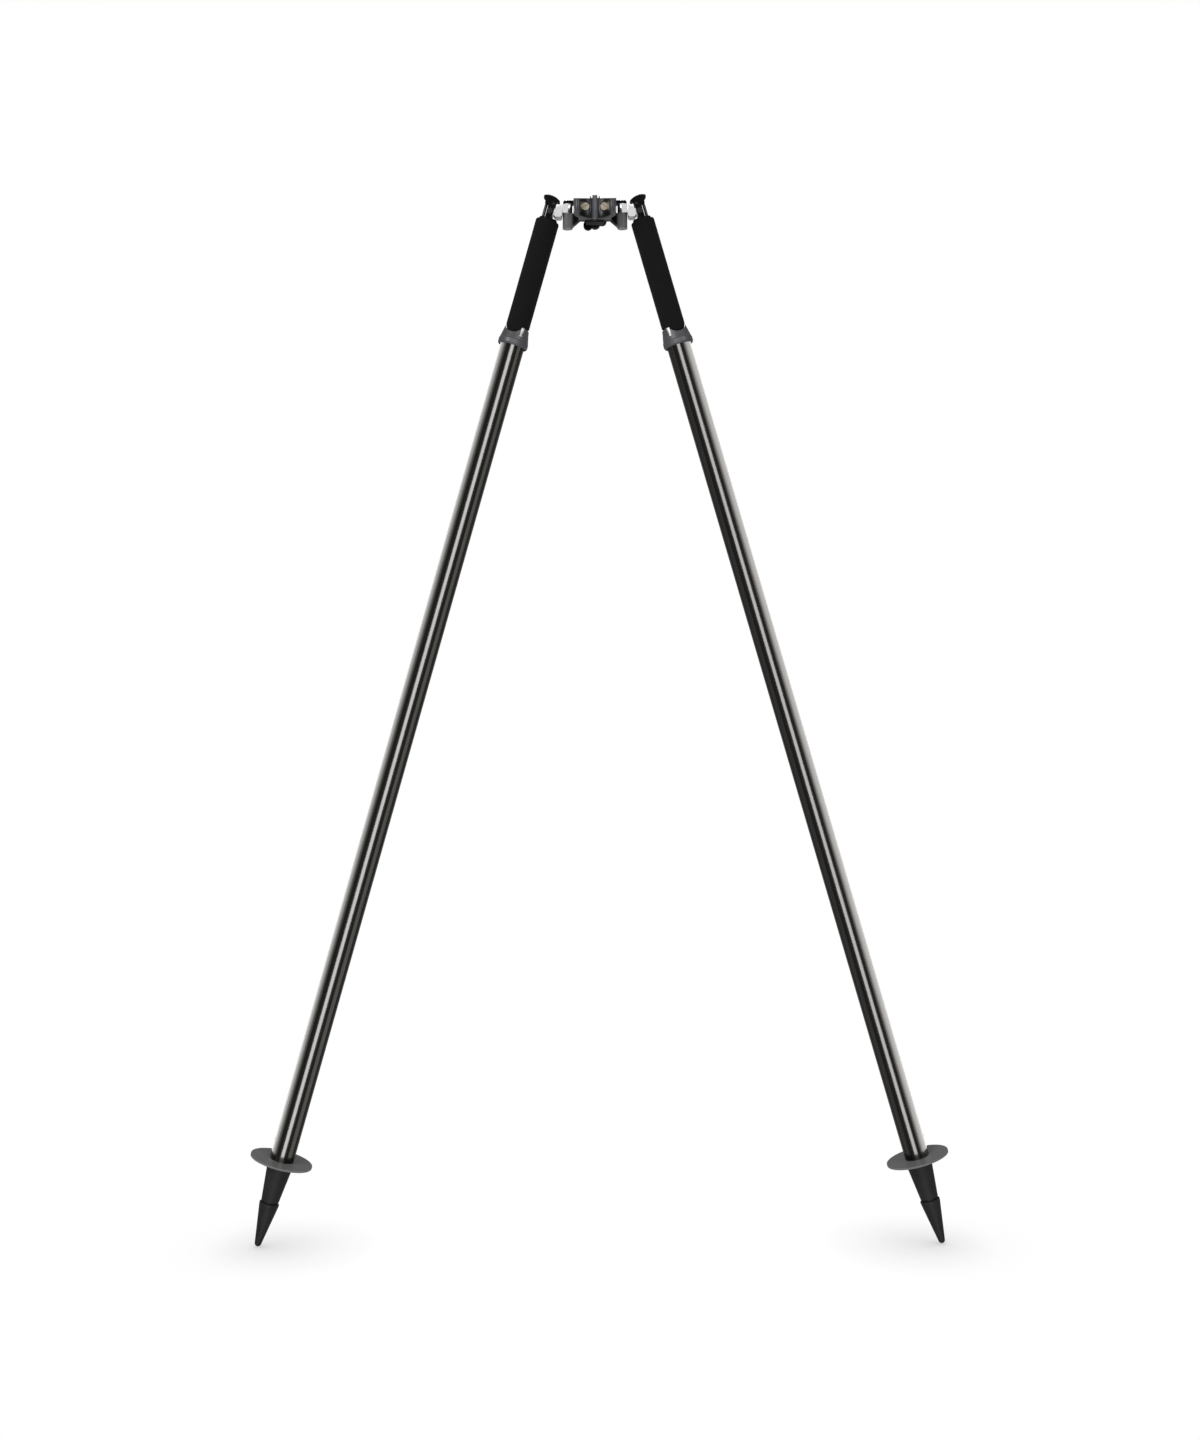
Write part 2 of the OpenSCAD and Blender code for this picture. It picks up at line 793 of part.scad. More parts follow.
// Side outline of the lever: a plate with a rounded back and grip ridges toward its thumb end
module lever_outline() {
  tip_rise = 1.4;
  tip_run = 2;
  lead = 0.8;
  back_z = lever_z + lever_t - lever_back_r;
  intersection() {
    polygon([[-lever_in, lever_z + lead], [lead - lever_in, lever_z], [lever_out - tip_run, lever_z],
      [lever_out, lever_z + tip_rise], [lever_out, lever_z + 2 * lever_t],
      [-lever_in, lever_z + 2 * lever_t]]);
    translate([lever_crown, back_z])
      circle(lever_back_r, $fn = 96);
  }
  for (at = [1:lever_ridges])
    translate([lever_crown, back_z])
      rotate(-at * ridge_pitch / lever_back_r * 180 / PI)
        translate([0, lever_back_r])
          circle(ridge_r, $fn = 16);
}

module lever_web() {
  nose_z = finger_top + 0.15;
  nose_in = finger_out - finger_d / 2;
  nose_out = finger_out + finger_d / 2;
  difference() {
    union() {
      polygon([[-lever_pin_in - 2.2, lever_z + over], [-lever_pin_in - 2.2, lever_pin_z],
        [-lever_pin_in, lever_pin_z - 1.5], [nose_in, nose_z], [nose_out, nose_z],
        [nose_out, lever_z + over]]);
      translate([-lever_pin_in, lever_pin_z])
        circle(lever_pin_d / 2 + 1.05);
    }
    translate([-lever_pin_in, lever_pin_z])
      circle(lever_pin_d / 2 + run_gap);
  }
}

module thumb_lever(side) {
  color(black)
    at_leg(side) {
      along_y(-lever_w / 2, lever_w / 2)
        lever_outline();
      along_y(-cheek_gap + slide_gap * 3, cheek_gap - slide_gap * 3)
        lever_web();
    }
}

module lever_pin(side) {
  color(steel)
    at_leg(side)
      translate([-lever_pin_in, 0, lever_pin_z])
        bar_y(-cheek_y, cheek_y, lever_pin_d / 2);
}

// Release and brake

module release_rod(side) {
  color(steel)
    at_leg(side) {
      translate([finger_out, 0, 0]) {
        translate([0, 0, finger_top - finger_d / 2])
          sphere(finger_d / 2);
        translate([0, 0, -push_plate_end])
          cylinder(h = push_plate_end + finger_top - finger_d / 2, r = finger_d / 2);
      }
      rod_down(push_plate_top, push_plate_end, inner_bore - 0.4);
      rod_down(push_plate_end - over, rod_end, rod_d / 2);
    }
}

// One unbroken helix tube of six sides, eight rings to a curl
ring_sides = 6;
curl_rings = 8;
spring_rise = spring_l - spring_wire * 1.05;
spring_rings = spring_curls * curl_rings;
spring_lean = atan2(spring_rise / spring_curls, PI * spring_d);

// Centre of a spring ring
function spring_mid(i) =
  let (turn = 360 * i / curl_rings)
  [spring_d / 2 * cos(turn), spring_d / 2 * sin(turn),
    spring_wire * 0.525 - spring_l + spring_rise * i / spring_rings];

// A point on a spring ring, square to the wire
function spring_point(i, k) =
  let (
    turn = 360 * i / curl_rings,
    around = 360 * k / ring_sides,
    out = spring_wire / 2 * cos(around),
    up = spring_wire / 2 * sin(around),
    side = -up * sin(spring_lean)
  )
  spring_mid(i) + [out * cos(turn) - side * sin(turn), out * sin(turn) + side * cos(turn),
    up * cos(spring_lean)];

spring_points = [for (i = [0:spring_rings]) for (k = [0:ring_sides - 1]) spring_point(i, k)];
spring_faces = concat(
  [for (i = [0:spring_rings - 1]) for (k = [0:ring_sides - 1])
    let (a = i * ring_sides + k, b = i * ring_sides + (k + 1) % ring_sides)
    [a, a + ring_sides, b]],
  [for (i = [0:spring_rings - 1]) for (k = [0:ring_sides - 1])
    let (a = i * ring_sides + k, b = i * ring_sides + (k + 1) % ring_sides)
    [b, a + ring_sides, b + ring_sides]],
  [for (k = [1:ring_sides - 2]) [0, k, k + 1]],
  [for (k = [1:ring_sides - 2])
    let (last = spring_rings * ring_sides)
    [last, last + k + 1, last + k]]
);

// Least gap between one curl and the next, measured on the ring centres
spring_gap = min([for (i = [0:spring_rings - curl_rings]) for (j = [-2:2])
  let (m = i + curl_rings + j)
  m > spring_rings ? spring_l : norm(spring_mid(m) - spring_mid(i)) - spring_wire]);
echo(least_spring_gap = spring_gap);

module return_spring(side) {
  color(steel)
    at_leg(side)
      translate([0, 0, -spring_top])
        polyhedron(points = spring_points, faces = spring_faces);
}

module spring_seat(side) {
  color(nylon)
    at_leg(side)
      tube_down(spring_end, spring_seat_end, inner_bore - seat_gap, rod_d / 2 + run_gap);
}

module brake_seat(side) {
  color(silver)
    at_leg(side)
      difference() {
        union() {
          rod_down(inner_end - brake_seat_l, inner_end + over, inner_bore - seat_gap);
          rod_down(inner_end + seat_gap, inner_end + brake_flange_t, outer_bore - free_gap);
        }
        rod_down(inner_end - brake_seat_l - over, inner_end + brake_flange_t + over, rod_d / 2 + run_gap);
      }
}

// Radius of the collet's tapered bore at a distance down the leg, clear of the cone
function cone_r(s) = cone_small_d / 2
  + (cone_large_d - cone_small_d) / 2 * (s - cone_start) / (cone_end - cone_start);

module brake_collet(side) {
  slits = 3;
  slit_w = 1.6;
  bore_gap = 0.2;
  color(nylon)
    at_leg(side)
      difference() {
        rod_down(collet_top, collet_end, outer_bore - run_gap);
        translate([0, 0, -collet_end - over])
          cylinder(h = collet_l + 2 * over, r1 = cone_r(collet_end + over) + bore_gap,
            r2 = cone_r(collet_top - over) + bore_gap);
        for (slit = [0:slits - 1])
          rotate([0, 0, 360 / slits * slit])
            translate([0, -slit_w / 2, -collet_end - over])
              cube([outer_r, slit_w, collet_l * 0.75 + over]);
      }
}

module brake_cone(side) {
  color(steel)
    at_leg(side)
      difference() {
        union() {
          translate([0, 0, -cone_end])
            cylinder(h = cone_end - cone_start, r1 = cone_large_d / 2, r2 = cone_small_d / 2);
          rod_down(cone_end, cone_base, cone_large_d / 2);
        }
        rod_down(cone_start - over, cone_base + over, rod_d / 2 + seat_gap);
      }
}

module brake_nut(side) {
  color(steel)
    at_leg(side)
      translate([0, 0, -nut_end])
        difference() {
          cylinder(h = brake_nut_h - seat_gap, r = brake_nut_w / sqrt(3), $fn = 6);
          translate([0, 0, -over])
            cylinder(h = brake_nut_h + 2 * over, r = rod_d / 2 + seat_gap);
        }
}

// Lower leg

module outer_tube(side) {
  color(tube_dark)
    at_leg(side)
      difference() {
        tube_down(outer_top, outer_end, outer_r, outer_bore);
        translate([0, 0, -outer_end + spigot_l / 2])
          rotate([0, 0, 90])
            bar_y(-outer_d, outer_d, foot_pin_d / 2 + seat_gap);
      }
}

module collar(side) {
  r_top = collar_top_d / 2;
  r_max = collar_d / 2;
  edge = 0.8;
  neck = 3;
  band = 6;
  color(dark)
    at_leg(side)
      difference() {
        rotate_extrude()
          polygon([[0, -collar_top], [r_top - edge, -collar_top], [r_top, -collar_top - edge],
            [r_top + 0.3, -collar_top - neck], [r_max - 0.5, -collar_end + band + 1],
            [r_max, -collar_end + band], [r_max, -collar_end + band / 3], [r_max - edge, -collar_end + 0.5],
            [r_max - 2 * edge, -collar_end], [0, -collar_end]]);
        saddle_bar(saddle_depth + saddle_gap, saddle_r + saddle_gap);
        rod_down(collar_top - over, collar_end + over, outer_bore);
        rod_down(bush_top, collar_end + over, outer_r + seat_gap);
        rod_down(collar_end - skirt_l, collar_end + over, skirt_d / 2);
        translate([-notch_in, -collar_d, -collar_top - notch_l])
          cube([notch_w, collar_d, notch_l + over]);
      }
}

module collar_bush(side) {
  color(nylon)
    at_leg(side)
      difference() {
        union() {
          rod_down(bush_top + seat_gap, outer_top - seat_gap, outer_r);
          rod_down(collar_top, bush_end, outer_bore - seat_gap);
        }
        saddle_bar(saddle_depth + saddle_gap, saddle_r + saddle_gap);
        rod_down(collar_top - over, bush_end + over, inner_r + run_gap);
      }
}

module foot_disc(side) {
  color(steel)
    at_leg(side)
      tube_down(outer_end + seat_gap, disc_end, disc_d / 2, outer_bore);
}

module foot_cone(side) {
  lead = 2;
  color(dark)
    at_leg(side)
      difference() {
        union() {
          rotate_extrude()
            polygon([[0, -outer_end + spigot_l], [outer_bore - lead, -outer_end + spigot_l],
              [outer_bore - seat_gap, -outer_end + spigot_l - lead],
              [outer_bore - seat_gap, -disc_end - seat_gap], [cone_top_d / 2, -disc_end - seat_gap],
              [cone_top_d / 2, -band_end], [cone_low_d / 2, -foot_cone_end],
              [neck_d / 2, -foot_cone_end], [neck_d / 2, -point_top], [0, -point_top]]);
        }
        rod_down(point_top - point_stud_l - seat_gap, point_top + over, point_stud_d / 2 + seat_gap);
        translate([0, 0, -outer_end + spigot_l / 2])
          rotate([0, 0, 90])
            bar_y(-outer_d, outer_d, foot_pin_d / 2 + seat_gap);
      }
}

// The point ends in a ball that its flanks meet without a step
module foot_point(side) {
  ball = point_end_d / 2;
  shoulder = 2.5;
  flank = point_l - shoulder - ball;
  lean = atan((point_d / 2 - ball) / flank);
  meet_z = -point_end + ball - ball * sin(lean);
  color(dark)
    at_leg(side) {
      rotate_extrude()
        polygon([[0, -point_top - seat_gap], [point_d / 2 - 0.8, -point_top - seat_gap],
          [point_d / 2, -point_top - 0.8], [point_d / 2, -point_top - shoulder],
          [ball * cos(lean), meet_z], [0, meet_z]]);
      translate([0, 0, -point_end + ball])
        sphere(ball);
      rod_down(point_top - point_stud_l, point_top + over, point_stud_d / 2);
    }
}

module foot_pin(side) {
  color(steel)
    at_leg(side)
      translate([0, 0, -outer_end + spigot_l / 2])
        rotate([0, 0, 90])
          bar_y(-outer_r, outer_r, foot_pin_d / 2);
}

yoke();
pole_clamp();
clamp_screws();
screw_bush();
clamp_stud();
wing_knob();
pressure_bar();
swing_pin(-1);  // left_swing_pin
swing_pin(1);  // right_swing_pin
swing_washers();
swivel_block(-1);  // left_swivel_block
swivel_block(1);  // right_swivel_block
hinge_pin(-1);  // left_hinge_pin
hinge_pin(1);  // right_hinge_pin
hinge_washers(-1);  // left_hinge_washers
hinge_washers(1);  // right_hinge_washers
leg_head(-1);  // left_leg_head
leg_head(1);  // right_leg_head
head_pin(-1);  // left_head_pin
head_pin(1);  // right_head_pin
inner_tube(-1);  // left_inner_tube
inner_tube(1);  // right_inner_tube
foam_grip(-1);  // left_foam_grip
foam_grip(1);  // right_foam_grip
thumb_lever(-1);  // left_thumb_lever
thumb_lever(1);  // right_thumb_lever
lever_pin(-1);  // left_lever_pin
lever_pin(1);  // right_lever_pin
release_rod(-1);  // left_release_rod
release_rod(1);  // right_release_rod
return_spring(-1);  // left_return_spring
return_spring(1);  // right_return_spring
spring_seat(-1);  // left_spring_seat
spring_seat(1);  // right_spring_seat
brake_seat(-1);  // left_brake_seat
brake_seat(1);  // right_brake_seat
brake_collet(-1);  // left_brake_collet
brake_collet(1);  // right_brake_collet
brake_cone(-1);  // left_brake_cone
brake_cone(1);  // right_brake_cone
brake_nut(-1);  // left_brake_nut
brake_nut(1);  // right_brake_nut
outer_tube(-1);  // left_outer_tube
outer_tube(1);  // right_outer_tube
collar(-1);  // left_collar
collar(1);  // right_collar
collar_bush(-1);  // left_collar_bush
collar_bush(1);  // right_collar_bush
foot_disc(-1);  // left_foot_disc
foot_disc(1);  // right_foot_disc
foot_cone(-1);  // left_foot_cone
foot_cone(1);  // right_foot_cone
foot_point(-1);  // left_foot_point
foot_point(1);  // right_foot_point
foot_pin(-1);  // left_foot_pin
foot_pin(1);  // right_foot_pin
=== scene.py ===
import json
import math

import bpy
from mathutils import Matrix, Vector


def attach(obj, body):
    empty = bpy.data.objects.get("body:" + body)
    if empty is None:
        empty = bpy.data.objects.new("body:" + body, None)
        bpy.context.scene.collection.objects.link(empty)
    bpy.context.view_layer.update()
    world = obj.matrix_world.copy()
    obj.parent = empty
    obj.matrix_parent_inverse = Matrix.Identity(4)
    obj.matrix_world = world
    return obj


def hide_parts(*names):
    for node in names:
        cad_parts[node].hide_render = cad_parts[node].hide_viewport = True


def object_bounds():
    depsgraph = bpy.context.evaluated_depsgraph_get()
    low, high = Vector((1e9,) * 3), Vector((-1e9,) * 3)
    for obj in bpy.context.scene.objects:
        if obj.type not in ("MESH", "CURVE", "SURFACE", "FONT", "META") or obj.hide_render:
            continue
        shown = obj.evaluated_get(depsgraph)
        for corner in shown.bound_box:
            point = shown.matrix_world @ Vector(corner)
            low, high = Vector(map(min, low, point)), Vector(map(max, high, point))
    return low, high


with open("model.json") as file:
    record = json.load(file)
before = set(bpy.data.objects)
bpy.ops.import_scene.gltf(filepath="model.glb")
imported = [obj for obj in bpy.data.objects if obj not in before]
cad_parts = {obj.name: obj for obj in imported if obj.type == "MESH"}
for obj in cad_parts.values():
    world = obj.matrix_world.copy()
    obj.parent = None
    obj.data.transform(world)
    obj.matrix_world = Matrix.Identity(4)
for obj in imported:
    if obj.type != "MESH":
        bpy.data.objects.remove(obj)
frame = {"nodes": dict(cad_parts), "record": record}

bl_info = {
    "name": "Prism pole bipod",
    "version": (1, 0, 0),
    "blender": (4, 5, 0),
    "location": "View3D > Sidebar > Bipod",
    "description": "Dresses a surveyor's bipod: foam grips, finishes, studio and camera",
    "category": "Object",
}

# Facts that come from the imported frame
CAD_BOX = [list(corner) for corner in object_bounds()]
NODES = frame["nodes"]
RECORD = frame["record"]
JOINTS = {joint["name"]: joint for joint in RECORD["behaviour"]["joints"]}
SIDES = ("left", "right")
OUTWARD = {"left": -1, "right": 1}
HINGE = {side: Vector(JOINTS[f"{side}_spread"]["pos_m"]) for side in SIDES}
LEG_DOWN = {side: Vector(JOINTS[f"{side}_extend"]["axis"]).normalized() for side in SIDES}
SPLAY = math.atan2(LEG_DOWN["right"].x, -LEG_DOWN["right"].z)
FLOOR_Z = CAD_BOX[0][2]
BORE_R = RECORD["mounts"][0]["dims"]["r_mm"] / 1000
LUG_AXIS = Vector(JOINTS["right_swing"]["pos_m"])

# The photograph: its frame in pixels and how it maps to the plane of the legs
PHOTO_W, PHOTO_H = 1200, 1439
PIXELS_PER_METRE = 960.0
HEAD_Y_PIXEL = 212.8
HEAD_X_PIXEL = 594.9
FOOT_X_PIXEL = 599.8
CAMERA_FAR = 50

# Foam grips: cuts, waves of the skin, and how many depths up the tongue pulls the foam along
GRIP_CUTS_ROUND = 160
GRIP_RIM_CUTS = 5
GRIP_SMOOTH_ANGLE = math.radians(50)
SKIN_WAVE = 0.012
SKIN_DETAIL = 3
SKIN_MIDDLE = 0.9
TONGUE_REACH = 3
SAME_PLACE = 1e-6
RIM_MARGIN = 1e-4
INNER_SIDE = 0.8
LONG_EDGE = 0.8

# Rounded edges of the head's rigid pieces
WELD_REACH = 1e-5
EDGE_CUTS = 2
EDGE_ANGLE = math.radians(40)
SOFT_EDGED = ["yoke", "pole_clamp", "wing_knob"]
SOFT_EDGED += [f"{side}_{name}" for side in SIDES
               for name in ("leg_head", "thumb_lever", "swivel_block")]

# The part of a noise's range that its values fill
NOISE_RANGE = (0.3, 0.7)

# Surface detail: counts per metre, depths in metres, and how far roughness runs to either side
MOULDED_GRAIN = 2500.0
MOULDED_PATCHES = 70.0
MOULDED_DEPTH = 0.0002
MOULDED_ROUGH = (-0.05, 0.07)
POINT_GRAIN = 1600.0
DISC_GRAIN = 1800.0
METAL_RINGS = 1400.0
METAL_GRAIN = 1800.0
METAL_PATCHES = 90.0
METAL_DEPTH = 0.0001
METAL_ROUGH = (-0.04, 0.06)
METAL_LIFT = 1.12
TUBE_LINES = 2600.0
BRIGHT_TUBE_LINES = 3200.0
SCUFFS = 240.0
SCUFF_EDGE = (0.66, 0.74)
SCUFF_LIFT = 1.15
FOAM_PORES = 1300.0
FOAM_GRAIN = 700.0
FOAM_PATCHES = 45.0
FOAM_DEPTH = 0.0004
FOAM_GRAIN_SHARE = 0.7
FOAM_TINT_RANGE = (0.35, 0.95)
FOAM_LIFT = 1.7

# Colours that change at a place, painted light and shade on the clamp, the yoke and the bar: how
# uneven the line is, and where the change begins and ends
RING_UNEVEN, RING_FADE = 0.0003, (0.0004, 0.0009)
BAR_UNEVEN, BAR_FADE = 0.0004, (-0.0001, 0.0005)

# Heights: a band at the lower lugs' ends, the top of the grey painted on them as a highlight, and
# one above every piece
LUG_END = 0.0005
LUG_HIGHLIGHT_TOP = -0.002
ABOVE_ALL = 1.0

# Colours that are no setting, and the metals by slot: name, colour, roughness, ring strength
NYLON = (0.80, 0.80, 0.78)
BAR_GREY = (0.105, 0.105, 0.121)
DRAWN_DARK, DRAWN_PALE = (0.72, 0.72, 0.73), (0.86, 0.86, 0.87)
METALS = {
    "brass": ("turned_brass", (0.36, 0.32, 0.255), 0.34, 0.1),
    "steel": ("turned_steel", (0.56, 0.56, 0.57), 0.28, 0.1),
    "dark_steel": ("blackened_steel", (0.045, 0.045, 0.047), 0.34, 0.1),
    "rod_aluminium": ("plain_aluminium", (0.70, 0.70, 0.71), 0.32, 0.1),
    "bright_aluminium": ("polished_aluminium", (0.66, 0.66, 0.67), 0.22, 0.04),
}

# Floor and world
FLOOR_GAP = 0.0005
FLOOR_PATCHES = 3.0
FLOOR_DULL = 0.985
SHADE_SAMPLES = 8
SHADE_DEEPEST = 0.6
SUN_GLOW = 0.7
SUN_ANGLE = math.radians(60)
WORLD_TO_CAMERA = 1.0
WORLD_TO_PIECES = 0.35

# Lamps for all but the outer tubes: place, target, width, height and glow
PANELS = {
    "key_panel": ((-1.75, -2.2, 0.9), (0, 0, -0.3), 1.4, 1.3, 10.5),
    "fill_panel": ((1.85, -2.1, 1.0), (0, 0, -0.4), 1.6, 1.3, 4.4),
    "top_panel": ((0, 0.2, 1.6), (0, 0, -0.4), 1.6, 1.6, 1),
}

# A lamp for the bright metal of the head alone, in the same order
HEAD_FRONT = ((0, -2.2, 0.66), (0, HINGE["right"].y, 0), 2.4, 1.6, 0.55)
HEAD_BRIGHT = ("left_swivel_block", "right_swivel_block", "clamp_screws")

# Strips mirrored in the legs: first and last angle from the front outward, glow and tint
STRIP_REACH = 2.6
STRIP_HEIGHT = 3.8
TUBE_MIDDLE = 0.6
COOL, PLAIN, WARM = (0.96, 0.97, 1.0), (1, 1, 1), (1, 0.97, 0.93)
TUBE_STRIPS = {
    "left": (
        (-14, 14, 20, COOL), (140, 180, 2.2, PLAIN), (112, 140, 6.5, PLAIN),
        (88, 112, 8.5, PLAIN), (72, 88, 3.5, PLAIN), (60, 72, 1.2, PLAIN), (-92, -53, 2.4, WARM)),
    "right": (
        (-16, 11, 17, COOL), (140, 180, 2.4, PLAIN), (112, 140, 7, PLAIN),
        (72, 112, 13, PLAIN), (58, 72, 8, PLAIN), (45, 58, 2.6, PLAIN), (-102, -61, 0.7, WARM)),
}
COLLAR_STRIP = (-22, 22, 3.6, COOL)
FOOT_STRIP = (-18, 18, 2.8, PLAIN)


class GripSettings(bpy.types.PropertyGroup):
    """Sizes and colour of the two foam grips"""
    colour: bpy.props.FloatVectorProperty(
        name="Foam colour", description="Colour of the closed-cell foam",
        subtype="COLOR", size=3, default=(0.0032, 0.0032, 0.0035), min=0, max=1)
    end_round: bpy.props.FloatProperty(
        name="End rounding", description="Rounding of the foam's outer ends",
        subtype="DISTANCE", unit="LENGTH", default=0.0009, min=0.0003)
    saddle_width: bpy.props.FloatProperty(
        name="Saddle width", description="Width of the tongue that dips into the collar",
        subtype="DISTANCE", unit="LENGTH", default=0.0175, min=0.01, max=0.018)
    saddle_offset: bpy.props.FloatProperty(
        name="Saddle offset", description="How far the tongue sits toward the outside",
        subtype="DISTANCE", unit="LENGTH", default=0.0032, min=0, max=0.0033)
    unevenness: bpy.props.FloatProperty(
        name="Unevenness", description="How far the soft skin wanders in and out",
        subtype="DISTANCE", unit="LENGTH", default=0.00025, min=0)
    rings: bpy.props.IntProperty(
        name="Rings", description="Cuts along the length of the foam", default=56, min=8)
    fill: bpy.props.FloatProperty(
        name="Fill", description="How firm the foam is, from slack to tight",
        default=0.9, min=0, max=1)


class FinishSettings(bpy.types.PropertyGroup):
    """Colours of the rigid pieces, and the rounding of their edges"""
    satin_black: bpy.props.FloatVectorProperty(
        name="Satin black", description="Colour of the leg heads, the levers and the wing knob",
        subtype="COLOR", size=3, default=(0.0018, 0.0018, 0.002), min=0, max=1)
    # Painted sheen: the clamp is moulded in the yoke's black, and this grey stands in for the sheen
    # of its plastic.
    clamp_grey: bpy.props.FloatVectorProperty(
        name="Clamp grey", description="Colour of the pole clamp outside its bore",
        subtype="COLOR", size=3, default=(0.036, 0.036, 0.039), min=0, max=1)
    # Painted highlight: the lugs are moulded in the yoke's black, and this grey stands in for their
    # sheen.
    lug_painted_highlight: bpy.props.FloatVectorProperty(
        name="Lug grey", description="Colour of the yoke's two lower barrel lugs",
        subtype="COLOR", size=3, default=(0.150, 0.150, 0.156), min=0, max=1)
    # In the clamp's bore this black is painted shade.
    yoke_black: bpy.props.FloatVectorProperty(
        name="Yoke black", description="Colour of the rest of the yoke and of the clamp's bore",
        subtype="COLOR", size=3, default=(0.0018, 0.0018, 0.002), min=0, max=1)
    collar_grey: bpy.props.FloatVectorProperty(
        name="Collar grey", description="Colour of the two collars",
        subtype="COLOR", size=3, default=(0.030, 0.030, 0.0325), min=0, max=1)
    tube_dark: bpy.props.FloatVectorProperty(
        name="Dark tube", description="Tint of the dark anodised outer tubes",
        subtype="COLOR", size=3, default=(0.030, 0.029, 0.0275), min=0, max=1)
    disc_grey: bpy.props.FloatVectorProperty(
        name="Disc grey", description="Colour of the foot discs",
        subtype="COLOR", size=3, default=(0.105, 0.105, 0.104), min=0, max=1)
    foot_black: bpy.props.FloatVectorProperty(
        name="Foot black", description="Colour of the foot cones and points",
        subtype="COLOR", size=3, default=(0.0065, 0.0065, 0.007), min=0, max=1)
    # Painted shade on the bar's long edges, beside its own grey middle.
    bar_painted_shade: bpy.props.FloatVectorProperty(
        name="Bar black", description="Colour of the pressure bar beside its rubbed strip",
        subtype="COLOR", size=3, default=(0.006, 0.006, 0.0065), min=0, max=1)
    # This half width is that of the bar's own grey; beyond it the painted shade begins.
    bar_unshaded_half: bpy.props.FloatProperty(
        name="Rubbed bar", description="Half width of the strip that the pole rubs grey on its bar",
        subtype="DISTANCE", unit="LENGTH", default=0.0026, min=0.001)
    edge_round: bpy.props.FloatProperty(
        name="Edge rounding", description="Rounding of the sharp edges of the head's rigid pieces",
        subtype="DISTANCE", unit="LENGTH", default=0.0004, min=0.0001)


class StageSettings(bpy.types.PropertyGroup):
    """Camera and floor"""
    camera_distance: bpy.props.FloatProperty(
        name="Camera distance", description="From the camera to the plane of the legs",
        subtype="DISTANCE", unit="LENGTH", default=1.75, min=0.5)
    floor_size: bpy.props.FloatProperty(
        name="Floor size", description="Side of the pale floor",
        subtype="DISTANCE", unit="LENGTH", default=14.0, min=2)
    floor_colour: bpy.props.FloatVectorProperty(
        name="Floor colour", description="Colour of the pale floor",
        subtype="COLOR", size=3, default=(0.95, 0.95, 0.95), min=0, max=1)
    # The shade on the floor is a painted shadow: ambient occlusion darkens the film that the camera
    # sees.
    shade_reach: bpy.props.FloatProperty(
        name="Shade reach", description="How far from a foot its shade on the floor reaches",
        subtype="DISTANCE", unit="LENGTH", default=0.11, min=0.01)
    shade_tone: bpy.props.FloatProperty(
        name="Shade tone", description="How much of the white is left in the deepest shade",
        subtype="FACTOR", default=0.62, min=0, max=1)


# Places on the CAD nodes

def leg_matrix(side):
    """The leg's own frame at its hinge: Z up the leg, Y away from the viewer."""
    up = -LEG_DOWN[side]
    back = Vector((0, 1, 0))
    across = back.cross(up)
    turn = Matrix((across, back, up)).transposed().to_4x4()
    return Matrix.Translation(HINGE[side]) @ turn


def leg_points(node, side):
    """A CAD node's vertices in its leg's frame, with X turned outward on both legs."""
    inverse = leg_matrix(side).inverted()
    outward = Vector((OUTWARD[side], 1, 1))
    return [(inverse @ vertex.co) * outward for vertex in NODES[node].data.vertices]


def lug_radius():
    """Radius of the yoke's lower lugs, from the vertices of their bottom ends."""
    points = [vertex.co for vertex in NODES["yoke"].data.vertices]
    bottom = min(point.z for point in points)
    ends = [point for point in points if point.z < bottom + LUG_END]
    return max(math.hypot(abs(point.x) - LUG_AXIS.x, point.y - LUG_AXIS.y) for point in ends)


# Small helpers for modelling

def clear_selection():
    """Deselects everything, also the CAD nodes that loading leaves selected."""
    bpy.ops.object.select_all(action="DESELECT")


def activate(piece):
    """Makes one piece the only selected and active object."""
    clear_selection()
    piece.select_set(True)
    bpy.context.view_layer.objects.active = piece


def select_parts(piece, kind, test):
    """Selects the faces or edges for which the test holds, and stays in edit mode."""
    bpy.ops.object.mode_set(mode="EDIT")
    bpy.ops.mesh.select_all(action="DESELECT")
    bpy.ops.mesh.select_mode(type="FACE" if kind == "faces" else "EDGE")
    bpy.ops.object.mode_set(mode="OBJECT")
    mesh = piece.data
    for part in mesh.polygons if kind == "faces" else mesh.edges:
        part.select = test(mesh, part)
    bpy.ops.object.mode_set(mode="EDIT")


def edge_ends(mesh, edge):
    """The places of an edge's two ends."""
    return [mesh.vertices[index].co for index in edge.vertices]


def apply_modifier(piece, kind, **values):
    """Adds a modifier, sets it and applies it."""
    activate(piece)
    modifier = piece.modifiers.new(kind.title(), kind)
    for name, value in values.items():
        setattr(modifier, name, value)
    bpy.ops.object.modifier_apply(modifier=modifier.name)


def settle(piece, matrix):
    """Moves a finished piece to its place and puts that place in its mesh."""
    activate(piece)
    piece.matrix_world = matrix
    bpy.ops.object.transform_apply(location=True, rotation=True, scale=True)


# Shader node groups that several finishes share

def socket(group, name, way, kind, default=None):
    """Adds a named socket to a node group."""
    made = group.interface.new_socket(name=name, in_out=way, socket_type=f"NodeSocket{kind}")
    if default is not None:
        made.default_value = default


def new_group(name):
    """An empty shader node group with its two end nodes."""
    group = bpy.data.node_groups.new(name, "ShaderNodeTree")
    return group, group.nodes.new("NodeGroupInput"), group.nodes.new("NodeGroupOutput")


def math_node(tree, operation, first, second=None):
    """The result of a math node with sockets or numbers at its inputs."""
    node = tree.nodes.new("ShaderNodeMath")
    node.operation = operation
    for at, value in enumerate((first, second)):
        if value is None:
            continue
        if isinstance(value, (int, float)):
            node.inputs[at].default_value = value
        else:
            tree.links.new(value, node.inputs[at])
    return node.outputs[0]


